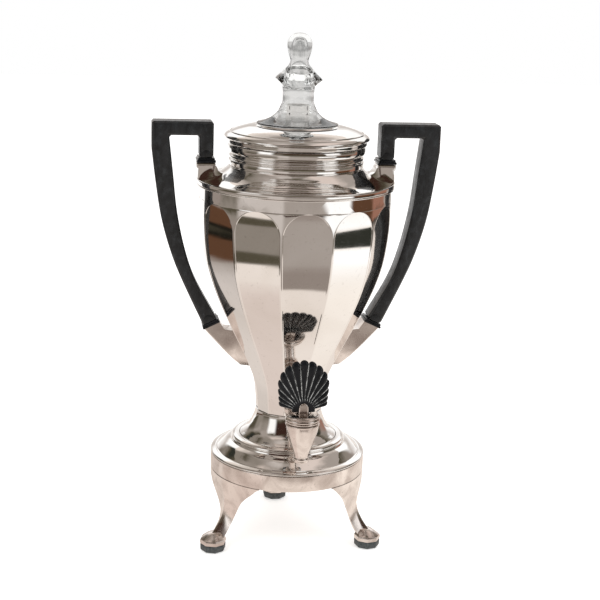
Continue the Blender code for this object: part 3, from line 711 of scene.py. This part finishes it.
def lower_socket(name, place):
    """A wedge from the washer down the side flat of the body, with a notch on its inner side."""
    centre, along, out = lower_frame()
    far_top, near_top = (tuple(centre + along * reach + out * 3.8) for reach in (6.7, -6.7))
    outer_edge = smooth_curve([far_top, (61.2, 163.6), (53.6, 155.2), (46.6, 148.0), (39.6, 141.8)], 7)
    inner_edge = smooth_curve([near_top, (52.9, 171.6), (50.2, 163.5), (44.6, 152.2), (38.6, 141.0)], 7)
    half = HANDLE_DEPTH / 2 - 1
    rows = []
    count = len(outer_edge) - 1
    for i, (far, near) in enumerate(zip(outer_edge, inner_edge)):
        fall = i / count
        width = half * (1 - 0.7 * fall**2)
        loop = []
        for k in range(-6, 7):
            y = width * k / 6
            ease = 1.3 * max(abs(k) - 4, 0) ** 2 / 4
            loop.append((far[0] - ease * 0.8, y, far[1] + ease * 0.5))
        for k in range(6, -7, -1):
            y = width * k / 6
            buried = body_x(y, near[1]) - 0.6
            x = min(near[0], buried) if fall > 0.22 else max(near[0], buried)
            loop.append((x, y, near[1]))
        rows.append(loop)
    return loft(name, rows, place)


def upper_socket(name, place):
    """A block under the washers that flares inward over the shoulder to the neck."""
    flare = smooth_curve([(61.6, 300.6), (60.4, 297.8), (58.0, 296.2), (55.0, 296.0)], 5)
    foot = [(54.4, 295.6), (57.4, 292.4), (62.4, 290.2), (68.6, 289.4), (73.6, 289.8), (76.0, 290.6)]
    block = [(76.2, 292.0), (75.8, 299.4), (77.2, 300.4), (77.2, 301.6), (76.4, 302.0), (77.2, 302.4)]
    head = [(77.2, 303.4), (62.6, 303.4), (62.6, 302.4), (63.4, 302.0), (62.6, 301.6)]
    return slab(name, [*flare, *foot, *block, *head], HANDLE_DEPTH - 2, place)


def tier(name, level, drop, rise, reach, depth, place):
    """One flat tier of a washer stack at the upper or lower end of a handle."""
    if level == "upper":
        near, far = UPPER_SEAT_X - reach, UPPER_SEAT_X + reach
        outline = [(far, drop), (near, drop), (near, rise), (far, rise)]
    else:
        centre, along, out = lower_frame()
        corners = ((-reach, drop), (reach, drop), (reach, rise), (-reach, rise))
        outline = [tuple(centre + along * a + out * b) for a, b in corners]
    return slab(name, outline, depth, place)


def make_handles():
    for side, sign in SIDES.items():
        place = flip(sign)
        wood = slab(f"handle_wood_{side}", handle_outline(), HANDLE_DEPTH, place)
        soften(wood, 1.5, 1, 32)
        soften(wood, 0.25, 2, 32)
        finish_piece(wood, "black_wood", "urn", [f"handle_{side}"], 34.0)
        steps = {
            "upper": ((306.1, 307.65, 6.4, 18.6), (304.0, 306.0, 7.2, 20.0)),
            "lower": ((0.2, 1.75, 6.5, 18.6), (1.8, 3.5, 7.2, 20.0)),
        }
        for level, (thin, thick) in steps.items():
            washer = tier(f"washer_{level}_{side}", level, *thin, place)
            soften(washer, 0.45, 3)
            second = tier(f"washer_rim_{level}_{side}", level, *thick, place)
            soften(second, 0.6, 3)
            finish_piece(washer, "black_bakelite", "urn", [f"handle_washer_{level}_{side}"])
            finish_piece(second, "black_bakelite", "urn", [])
            make_relief(level, side, place)
        upper = upper_socket(f"upper_socket_casting_{side}", place)
        soften(upper, 0.5, 3)
        finish_piece(upper, "polished_silver", "urn", [f"upper_socket_{side}"])
        lower = lower_socket(f"lower_socket_casting_{side}", place)
        finish_piece(lower, "satin_silver", "urn", [f"lower_socket_{side}"], 38.0)


def make_relief(level, side, place):
    """A small carved arch that stands proud of both faces of the wood, above the washers."""
    if level == "upper":
        foot, across, up = Vector((UPPER_SEAT_X, 307.8)), Vector((1, 0)), Vector((0, 1))
    else:
        foot, across, out = lower_frame()
        up = -out
    ring = arc((0, 0), 4.4, 0, 180, 25)
    outline = [tuple(foot + across * a + up * (b * 1.25 + 0.2)) for a, b in ring]
    arch = slab(f"handle_relief_{level}_{side}", outline, HANDLE_DEPTH + 0.9, place)
    soften(arch, 0.4, 2, 50)
    finish_piece(arch, "black_wood", "urn", [])


# ---- spigot


FAN_CENTRE_Z = 148.8
FAN_RADIUS = 19.4
FAN_CORNER = (18.2, 133.2)
FAN_SHOULDER = (19.3, 146.6)
ROOT_Z = 128.4
FAN_HUB = 5.0
FLUTES = 15
FLUTE_ANGLE = radians(10.1)


def make_spigot():
    taper = [(12.3, 118.2), (11.9, 114.6), (10.9, 110.4), (8.7, 103.4), (5.6, 95.2), (5.0, 92.6)]
    barrel = smooth_curve(taper, 7)
    collar = [(12.0, 119.7), (12.9, 119.3), (12.9, 118.6)]
    nozzle = [(5.0, 92.2), (5.7, 91.6), (5.8, 90.8), (5.3, 90.2), (5.5, 89.0), (5.2, 88.4), (3.2, 88.4)]
    bore = [(3.1, 100.2), (5.6, 100.2), (7.7, 119.7)]
    body = turned("spigot_barrel", rounded([*collar, *barrel, *nozzle, *bore], 0.3, True, 2), SPIGOT, 96)
    beads = []
    for centre in (55.4, 53.0, 50.6):
        beads += [(5.2 + 2.3 * sin(pi * k / 8), centre + 1.1 - 2.2 * k / 8) for k in range(9)]
    flange = [(5.2, 33.6), (6.6, 32.8), (7.5, 31.6), (7.5, 29.8), (4.6, 29.8), (4.6, 18.6), (2.9, 18.6)]
    place = lying(AXIS + Vector((0, 0, SHANK_Z * MM)))
    shank = turned("shank", [(2.9, 69.6), (5.2, 69.6), *beads, *flange], place, 48)
    combine(body, [shank], "UNION")
    finish_piece(body, "satin_silver", "urn", ["spigot_body"], 36.0)
    bands = [(9.0, 127.0), (11.4, 126.8), (12.8, 126.0), (13.0, 125.2), (12.3, 124.5), (12.9, 123.9)]
    bands += [(13.3, 123.0), (12.9, 122.2), (12.1, 121.8), (12.7, 121.3), (12.6, 120.4), (12.2, 120.1)]
    cap = turned("spigot_collar", rounded([*bands, (5.8, 120.1), (5.8, 127.0)], 0.25, True, 2), SPIGOT, 96)
    finish_piece(cap, "satin_silver", "urn", ["spigot_cap"], 40.0)


def rim_reach(angle):
    """Distance from the fan's root to its rim, at this angle from upright: round, then straight sides."""
    side_x, side_z = FAN_SHOULDER[0], FAN_SHOULDER[1] - ROOT_Z
    if abs(angle) < atan2(side_x, side_z):
        drop = FAN_CENTRE_Z - ROOT_Z
        return drop * cos(angle) + sqrt(FAN_RADIUS**2 - (drop * sin(angle)) ** 2)
    run_x, run_z = FAN_CORNER[0] - side_x, FAN_CORNER[1] - FAN_SHOULDER[1]
    return (side_x * run_z - side_z * run_x) / (sin(abs(angle)) * run_z - cos(angle) * run_x)


def make_fan():
    """A shell of convex petals that spread from the root, each ending in its own round lobe."""
    offsets = (0.0, 0.03, 0.07, 0.12, 0.2, 0.3, 0.42, 0.58, 0.7, 0.8, 0.88, 0.93, 0.97)
    places = [flute + t for flute in range(FLUTES) for t in offsets] + [float(FLUTES)]
    rows = [0.0, 0.12, 0.25, 0.4, 0.55, 0.7, 0.8, 0.88, 0.93, 0.965, 0.985, 1.0]
    bm = bmesh.new()
    grids = []
    for side in (-1, 1):
        grid = []
        for place in places:
            angle = FLUTE_ANGLE * (place - FLUTES / 2)
            across = place % 1.0
            lobe = sqrt(max(1 - (2 * across - 1) ** 2, 0.0))
            reach = rim_reach(angle) * (0.925 + 0.075 * lobe)
            column = []
            for row in rows:
                out = FAN_HUB + (reach - FAN_HUB) * row
                swell = 1.15 + 1.25 * lobe * (0.4 + 0.6 * out / reach)
                swell *= sqrt(max(1 - max(row - 0.86, 0.0) ** 2 / 0.021, 0.04))
                x, z = out * sin(angle), ROOT_Z + out * cos(angle)
                column.append(bm.verts.new((x * MM, side * swell * MM, z * MM)))
            grid.append(column)
        skin(bm, grid, around=False)
        grids.append(grid)
    near, far = grids
    for end in (0, -1):
        skin(bm, [[column[end] for column in near], [column[end] for column in far]], around=False)
        skin(bm, [near[end], far[end]], around=False)
    bmesh.ops.recalc_face_normals(bm, faces=bm.faces)
    fan = mesh_object("fan_shell", bm, SPIGOT)
    root = slab("root", [(8.6, 128.8), *arc((0, 130.6), 8.7, 0, 180, 33), (-8.6, 128.8)], 7.2, SPIGOT)
    soften(root, 0.5, 3)
    pin = turned("pin", [(0, 7), (1.3, 7), (1.3, -7), (0, -7)], closed=False, steps=16)
    pin.matrix_world = lying(SPIGOT + Vector((0, 0, middle("fan_pin").z)))
    combine(fan, [root], "UNION")
    combine(fan, [pin], "DIFFERENCE")
    finish_piece(fan, "black_bakelite", "spigot_key", ["fan_handle"], 34.0)
    fan.data.materials.clear()
    fan.data.materials.append(fluted_bakelite())


def make_key():
    stalk = [(0, 127.8), (4.8, 127.8), (5.4, 127.2), (5.4, 119.8)]
    plug = [(7.28, 119.8), (5.32, 100.5), (2.7, 100.5), (2.7, 114.4), (0, 114.4)]
    key = turned("key_plug", [*stalk, *plug], SPIGOT, 64, False)
    tang = slab("tang", [(3.6, 127.0), *arc((0, 132.4), 3.6, 0, 180, 25), (-3.6, 127.0)], 10.4, SPIGOT)
    soften(tang, 0.9, 3)
    slot = slab("slot", [(-6, 128.3), (6, 128.3), (6, 140), (-6, 140)], 7.8, SPIGOT)
    combine(key, [tang], "UNION")
    combine(key, [slot], "DIFFERENCE")
    finish_piece(key, "satin_silver", "spigot_key", ["spigot_key"], 36.0)


# ---- lid and glass


def make_lid():
    collar = [(8.6, 348.0), (8.9, 347.6), (8.9, 334.2), (9.4, 333.6)]
    seat = [(28.6, 332.6), (29.0, 333.0), (31.4, 333.3), (32.0, 332.7)]
    dome = smooth_curve([(32.4, 332.3), (38.0, 331.6), (44.8, 329.8), (50.4, 327.6)], 8)
    ring = [(50.7, 328.0), (51.4, 327.9), (51.7, 327.0)]
    edge = smooth_curve([(52.0, 326.9), (54.4, 325.8), (55.8, 324.4), (56.0, 323.4)], 5)
    under = [(55.3, 322.7), (54.6, 322.3), (54.4, 321.0), (54.2, 319.4), (53.6, 318.7), (48.7, 318.7)]
    skirt = [(48.7, 309.3), (48.4, 309.0), (47.9, 309.0)]
    inside = [(47.8, 324.6), (31.0, 330.8), (7.9, 331.8), (7.9, 348.0)]
    outline = rounded([*collar, *seat, *dome, *ring, *edge, *under, *skirt, *inside], 0.25, True, 2)
    lid = turned("lid_shell", outline, steps=160)
    finish_piece(lid, "polished_silver", "lid", ["lid"], 45.0)


def make_glass():
    knob = [(0.0, 402.0), (3.6, 401.6), (7.0, 399.3), (9.2, 395.6), (9.4, 391.0), (8.2, 386.0)]
    outer = smooth_curve([*knob, (6.9, 381.6), (7.6, 378.4), (9.9, 375.8), (13.2, 372.6)], 6)
    tips = [(17.4, 369.0), (18.5, 367.6), (17.4, 366.4)]
    waist = smooth_curve([(13.4, 363.0), (12.5, 361.2), (12.2, 356.0), (12.4, 349.6), (15.4, 342.7)], 6)
    bell = smooth_curve([waist[-1], (20.6, 338.2), (26.2, 335.6), (31.0, 334.4)], 7)[1:]
    lower = smooth_curve([(29.4, 333.6), (24.6, 334.6), (18.4, 337.0), (13.0, 342.0), (10.4, 349.4)], 6)
    throat = smooth_curve([(10.0, 355.0), (9.8, 360.6), (8.4, 363.0), (7.8, 366.2), (8.3, 370.6)], 5)
    bubble = [(7.4, 375.0), (5.2, 378.8), (4.3, 382.4), (4.4, 388.0), (4.3, 393.0), (2.8, 396.2)]
    inner = smooth_curve([*bubble, (0.0, 397.2)], 5)
    rim = [(31.3, 334.1), (31.2, 333.6)]

    def cut(radius, height):
        """The collar is cut to eight sides, and the rest is round."""
        return min(max((radius - 11.5) / 3.0, 0.0), 1.0) if 361.5 < height < 375.5 else 0.0

    profile = [*outer, *tips, *waist, *bell, *rim, *lower, *throat, *inner]
    glass = turned("glass_percolator_top", profile, steps=128, closed=False, sides=8, bulge=cut)
    finish_piece(glass, "clear_glass", "glass_top", ["glass_top"], 32.0)


# ---- inside


def drill(obj, circles, radius, low, high):
    """Cuts rows of small round holes, given as (ring radius, count), straight down through obj."""
    bm = bmesh.new()
    for ring, count in circles:
        for k in range(count):
            angle = 2 * pi * k / count
            where = Vector((ring * cos(angle), ring * sin(angle), (low + high) / 2)) * MM
            size = {"radius1": radius * MM, "radius2": radius * MM, "depth": (high - low) * MM}
            spot = Matrix.Translation(where)
            bmesh.ops.create_cone(bm, cap_ends=True, segments=10, matrix=spot, **size)
    return combine(obj, [mesh_object("drills", bm)], "DIFFERENCE")


def make_brewing():
    top, floor_z, rim_z = STEM_TOP_Z, BASKET_LOW_Z, BASKET_TOP_Z
    stop = [(4.0, floor_z - 0.3), (6.2, floor_z - 0.5), (6.7, floor_z - 1.2), (6.7, floor_z - 3.2)]
    cone = smooth_curve([(4.0, 109.0), (4.3, 106.2), (6.2, 101.6), (9.6, 97.6), (11.6, 95.4)], 6)
    inner = [(11.6, 92.4), (10.5, 92.4), (10.5, 95.2), (4.8, 102.0), (3.1, 107.4), (3.1, top)]
    stem_profile = [(4.0, top), *stop, (6.0, floor_z - 4.0), (4.0, floor_z - 5.0), *cone, *inner]
    stem = turned("pump_tube", stem_profile, steps=48)
    finish_piece(stem, "aluminium", "pump_stem", ["pump_stem"], 40.0)
    rim = [(43.2, rim_z), (44.0, rim_z - 0.3), (44.0, rim_z - 1.2), (43.0, rim_z - 1.9)]
    wall = [(43.0, 256.0), (42.6, 253.4), (41.0, 251.4), (40.0, floor_z), (4.7, floor_z)]
    tube = [(4.7, 292.0), (5.8, 292.0), (5.8, 252.0)]
    cup = [(39.8, 252.0), (41.6, 254.0), (41.9, 257.0), (41.9, rim_z)]
    basket = turned("basket_cup", rounded([*rim, *wall, *tube, *cup], 0.3, True, 2), steps=96)
    drill(basket, [(9 + 5 * k, 10 + 6 * k) for k in range(6)], 0.8, floor_z - 1, floor_z + 3)
    finish_piece(basket, "aluminium", "coffee_basket", ["coffee_basket"], 40.0)
    lip = [(6.0, 301.4), (6.6, 299.9), (8.4, 299.3), (30.0, 298.6), (38.0, 299.0), (41.0, 298.2)]
    edge = [(44.8, 298.0), (44.8, 296.8), (41.0, 296.9), (38.0, 297.8), (30.0, 297.4)]
    hub = [(4.7, 297.4), (4.7, 301.4)]
    cover = turned("spreader_cover", rounded([*lip, *edge, *hub], 0.3, True, 2), steps=96)
    drill(cover, [(13 + 6 * k, 12 + 6 * k) for k in range(4)], 0.9, 295.0, 300.5)
    finish_piece(cover, "aluminium", "basket_cover", ["basket_cover"], 40.0)


def dress_kept_nodes():
    """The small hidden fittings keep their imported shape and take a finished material."""
    shown = {p["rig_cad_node"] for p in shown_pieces() if "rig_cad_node" in p}
    slots = {s["node"]: s["material_slot"] for s in frame["record"]["subparts"]}
    for name in sorted(shown):
        node = frame["nodes"][name]
        node.data.materials.clear()
        node.data.materials.append(MATERIALS[slots[name]])


# ---- camera, floor and light


# The viewpoint, about the urn: distance and height in metres, degrees off to the left and the aim.
CAMERA_DISTANCE = 1.0582
CAMERA_HEIGHT = 0.4625
CAMERA_AROUND = 8.0
CAMERA_PITCH = 14.21
CAMERA_YAW = 0.35
CAMERA_ROLL = 1.91
CAMERA_LENS = 82.96


def make_camera():
    pitch, yaw, roll = radians(CAMERA_PITCH), radians(CAMERA_YAW), radians(CAMERA_ROLL)
    ahead = Vector((sin(yaw) * cos(pitch), cos(yaw) * cos(pitch), -sin(pitch)))
    level = Vector((cos(yaw), -sin(yaw), 0))
    upright = level.cross(ahead)
    right = level * cos(roll) + upright * sin(roll)
    up = upright * cos(roll) - level * sin(roll)
    turn = Matrix.Rotation(-radians(CAMERA_AROUND), 3, "Z")
    place = AXIS + turn @ Vector((0, -CAMERA_DISTANCE, CAMERA_HEIGHT))
    columns = Matrix((turn @ right, turn @ up, turn @ -ahead)).transposed().to_4x4()
    data = bpy.data.cameras.new("camera")
    data.lens = CAMERA_LENS
    camera = bpy.data.objects.new("camera", data)
    camera.matrix_world = Matrix.Translation(place) @ columns
    bpy.context.scene.collection.objects.link(camera)
    bpy.context.scene.camera = camera


# Tones of the room that the polished metal mirrors.
WHITE = (1.15, 1.14, 1.13)
BRIGHT = (1.02, 0.94, 0.86)
CREAM = (0.86, 0.77, 0.70)
ROSE = (0.74, 0.63, 0.57)
PALE = (0.60, 0.54, 0.50)
TAUPE = (0.395, 0.345, 0.31)
DUSK = (0.30, 0.25, 0.22)
GREY = (0.27, 0.235, 0.20)
OLIVE = (0.085, 0.072, 0.048)
RUST = (0.11, 0.052, 0.028)
TERRACOTTA = (0.34, 0.165, 0.115)
BROWN = (0.045, 0.022, 0.016)
CHARCOAL = (0.032, 0.033, 0.026)
BLACK = (0.008, 0.008, 0.006)
MIST = (0.84, 0.82, 0.81)
STEEL = (0.36, 0.355, 0.35)

# Sectors of the ground: a name, from and to bearing in degrees (0 is +X, 90 is +Y), then each
# tone and the distance in metres at which it is full. Nearer than the first there is only that one.
NEAR_FRONT = [(0.262, CREAM), (0.272, DUSK), (0.42, DUSK)]
NEAR_LEFT = [(0.22, ROSE), (0.32, CREAM), (0.495, CREAM), (0.515, OLIVE)]
NEAR_REAR = [(0.0, CREAM), (0.42, PALE), (0.62, TAUPE), (0.65, RUST), (0.87, RUST)]
NEAR_SIDE = [(0.0, BRIGHT), (0.8, CREAM), (1.0, PALE), (1.2, DUSK), (1.32, CHARCOAL)]
NEAR_RIGHT = [(0.0, CREAM), (0.30, BRIGHT), (0.66, WHITE), (0.735, BRIGHT), (0.75, CHARCOAL)]
FAR_LEFT = [(0.0, ROSE), (0.44, CREAM), (0.47, OLIVE)]
GROUND = [
    ("front", -110, -62, [*NEAR_FRONT, (0.55, TAUPE), (1.7, TAUPE), (1.9, BROWN)]),
    ("front_left", -128, -110, [(0.40, CREAM), (0.46, TAUPE), (1.0, PALE)]),
    ("left", -166, -128, [*NEAR_LEFT, (0.60, OLIVE), (0.63, GREY), (1.1, GREY), (1.5, PALE)]),
    ("far_left", 166, 194, [*FAR_LEFT, (1.0, DUSK), (1.4, GREY), (1.8, OLIVE)]),
    ("back_left", 130, 166, [*NEAR_REAR, (0.92, BLACK), (1.2, OLIVE), (1.4, DUSK)]),
    ("back", 62, 130, [(0.6, CREAM), (1.2, WHITE)]),
    ("right_rear", 30, 62, [(1.1, CREAM), (1.3, TAUPE)]),
    ("right_side", 4, 30, [*NEAR_SIDE, (1.42, TERRACOTTA)]),
    ("right", -30, 4, [*NEAR_RIGHT, (1.2, CHARCOAL), (1.3, RUST)]),
    ("front_right", -62, -30, [(0.6, CREAM), (0.72, GREY), (0.95, GREY), (1.1, WHITE)]),
]

# Sectors of the wall, by height in metres.
SOFTBOX_LEFT = [(0.0, PALE), (0.12, TAUPE), (0.4, WHITE), (1.25, WHITE), (1.6, GREY), (1.75, OLIVE)]
WALL_FRONT = [(0.0, TAUPE), (0.1, GREY), (0.4, OLIVE), (0.9, BROWN), (1.6, BROWN), (1.85, OLIVE)]
WALL_RIGHT = [(0.0, TERRACOTTA), (0.1, GREY), (0.6, OLIVE), (1.1, CHARCOAL), (1.3, CHARCOAL)]
WALLS = [
    ("back", 42, 118, [(0.0, WHITE), (0.7, PALE), (1.0, WHITE)]),
    ("left_back", 118, 146, [(0.3, OLIVE), (1.0, GREY), (1.3, OLIVE), (1.6, CHARCOAL)]),
    ("left_rear", 146, 172, [(0.5, GREY), (0.7, TAUPE), (1.1, GREY), (1.6, OLIVE)]),
    ("left", 172, 198, [(0.0, OLIVE), (0.6, GREY), (1.2, TAUPE)]),
    ("left_softbox", -162, -137, SOFTBOX_LEFT),
    ("front_left", -137, -120, [(0.0, TAUPE), (0.2, GREY), (0.7, OLIVE), (0.9, BROWN)]),
    ("front", -120, -52, WALL_FRONT),
    ("right_softbox", -46, -24, [(0.0, GREY), (0.25, TAUPE), (0.5, WHITE), (1.7, WHITE), (1.9, TAUPE)]),
    ("right", -20, 14, [*WALL_RIGHT, (1.6, OLIVE)]),
    ("right_back", 14, 42, [(0.0, TERRACOTTA), (0.7, DUSK), (1.3, GREY), (1.8, OLIVE)]),
]

# Sectors of the ceiling, by distance in metres.
OVERHEAD = [(0.0, BROWN), (0.2, OLIVE)]
OVER_FRONT = [*OVERHEAD, (0.4, GREY), (0.5, TAUPE), (0.6, TAUPE), (0.75, OLIVE), (1.0, OLIVE)]
CEILING = [
    ("front", -115, -65, [*OVER_FRONT, (1.3, TAUPE), (1.6, DUSK), (1.9, BROWN)]),
    ("left", -165, -115, [*OVERHEAD, (0.35, TAUPE), (0.5, PALE), (0.8, TAUPE), (1.2, ROSE), (2.0, TAUPE)]),
    ("far_left", 165, 195, [(0.6, TAUPE), (1.1, GREY), (2.0, TAUPE)]),
    ("left_rear", 125, 165, [(0.0, PALE), (0.7, TAUPE), (1.2, GREY), (1.5, OLIVE), (1.8, GREY)]),
    ("back", 55, 125, [(0.8, TAUPE), (1.2, GREY), (1.4, TAUPE), (2.0, CREAM)]),
    ("right", -65, 55, [*OVERHEAD, (0.35, TAUPE), (0.6, ROSE), (1.0, ROSE), (1.5, TAUPE)]),
]
ROOM_RADIUS = 2.4
ROOM_HEIGHT = 1.9
ROOM_MIDDLE = 0.02
SHADE_RADIUS = 1.6
SHADE = [(0.3, MIST), (0.55, STEEL), (0.75, MIST), (1.2, MIST), (1.6, STEEL)]

# How often the borders of the room's tones wander, per metre: broad bends and small ones.
BROAD, SMALL = 2.2, 13


def tone_at(stops, distance):
    """The tone at a distance, in even steps between the tones of the list."""
    for (start, first), (end, second) in zip(stops, stops[1:]):
        if distance < end:
            share = max((distance - start) / (end - start), 0.0)
            return [a + (b - a) * share for a, b in zip(first, second)]
    return stops[-1][1]


def room_tone(sectors, bearing, distance, soft):
    """Blends the sectors over soft degrees on both sides of their borders."""
    total, colour = 0.0, [0.0, 0.0, 0.0]
    for _, start, end, stops in sectors:
        centre, half = (start + end) / 2, (end - start) / 2
        away = abs((bearing - centre + 180) % 360 - 180)
        weight = min(max((half - away + soft) / (2 * soft), 0.0), 1.0)
        if weight > 0:
            weight *= weight * (3 - 2 * weight)
            total += weight
            colour = [c + weight * t for c, t in zip(colour, tone_at(stops, distance))]
    return [c / max(total, 1e-6) for c in colour]


def emitter(name):
    """Glows in the colours that its mesh carries."""
    s = Shader(name, BLACK, 1.0)
    s.material.cycles.emission_sampling = "NONE"
    tone = s.node("Attribute", {}, attribute_name="tone").outputs["Color"]
    glow = s.node("Emission", {"Color": tone}).outputs["Emission"]
    s.links.new(glow, s.nodes["Material Output"].inputs["Surface"])
    return s.material


def room_surface(name, rows, sectors, soft, wander, seen_by="glossy"):
    """A surface round the urn that only some rays can see, from rows of (radius, height, place).

    The place is the distance or height that is looked up in the sectors. The borders wander."""
    bm = bmesh.new()
    turns = [1.5 * k for k in range(241)]
    tones, rings = [], []
    for radius, height, place in rows:
        ring = []
        for bearing in turns:
            a = radians(bearing)
            spot = Vector((radius * cos(a), radius * sin(a), height))
            small = noise.fractal(spot * SMALL, 1.0, 2.0, 2)
            sway = wander * (noise.fractal(spot * BROAD, 1.0, 2.0, 3) + 0.5 * small)
            tones.append(room_tone(sectors, bearing + 6 * sway, place * (1 + sway), soft))
            ring.append(bm.verts.new(spot))
        rings.append(ring)
    skin(bm, rings, around=False)
    obj = mesh_object(name, bm)
    layer = obj.data.color_attributes.new("tone", "FLOAT_COLOR", "POINT")
    for item, tone in zip(layer.data, tones):
        item.color = (*tone, 1.0)
    obj.data.materials.append(emitter(name))
    obj.visible_camera = False
    obj.visible_diffuse = False
    obj.visible_shadow = False
    obj.visible_glossy = seen_by == "glossy"
    obj.visible_transmission = seen_by == "transmission"


def make_room():
    reaches = [ROOM_MIDDLE * (ROOM_RADIUS / ROOM_MIDDLE) ** (k / 190) for k in range(191)]
    heights = [ROOM_HEIGHT * k / 60 for k in range(61)]
    spread = [ROOM_MIDDLE + (ROOM_RADIUS - ROOM_MIDDLE) * k / 60 for k in range(61)]
    room_surface("room_ground", [(r, 0.0008, r) for r in reaches], GROUND, 3.0, 0.13)
    room_surface("room_wall", [(ROOM_RADIUS, h, h) for h in heights], WALLS, 5.0, 0.14)
    room_surface("room_ceiling", [(r, ROOM_HEIGHT, r) for r in spread], CEILING, 9.0, 0.14)
    sides = [(SHADE_RADIUS, h, h) for h in heights]
    top = [(SHADE_RADIUS * (1 - k / 20), ROOM_HEIGHT, ROOM_HEIGHT) for k in range(20)]
    around = [("around", -180, 181, SHADE)]
    room_surface("shade_around_glass", sides + top, around, 5.0, 0.2, "transmission")


def make_studio():
    bm = bmesh.new()
    bm.faces.new([bm.verts.new(corner) for corner in ((-4, -4, 0), (4, -4, 0), (4, 4, 0), (-4, 4, 0))])
    floor = mesh_object("floor", bm, Vector((0, 0, -0.0006)))
    pale = Shader("pale_floor", (0.90, 0.89, 0.88), 0.9)
    pale.bsdf.inputs["Emission Color"].default_value = (1.0, 0.99, 0.98, 1.0)
    pale.bsdf.inputs["Emission Strength"].default_value = 0.42
    floor.data.materials.append(pale.material)
    make_room()
    world = bpy.data.worlds.new("studio")
    world.use_nodes = True
    sky = world.node_tree.nodes["Background"]
    sky.inputs["Color"].default_value = (1.0, 1.0, 1.0, 1.0)
    sky.inputs["Strength"].default_value = 1.0
    bpy.context.scene.world = world
    for name, x, y, z, size, power in (("key", -1.1, -1.3, 1.7, 1.2, 10), ("fill", 1.2, -1.0, 1.5, 1.2, 7)):
        data = bpy.data.lights.new(name, "AREA")
        data.size = size
        data.energy = power
        light = bpy.data.objects.new(name, data)
        light.location = AXIS + Vector((x, y, z))
        aim = AXIS + Vector((0, 0, 0.2)) - light.location
        light.rotation_mode = "QUATERNION"
        light.rotation_quaternion = aim.to_track_quat("-Z", "Y")
        light.visible_glossy = False
        bpy.context.scene.collection.objects.link(light)
    bpy.context.scene.view_settings.view_transform = "Standard"


make_camera()
make_body()
make_neck()
make_base()
make_legs()
make_handles()
make_spigot()
make_fan()
make_key()
make_lid()
make_glass()
make_brewing()
dress_kept_nodes()
make_studio()
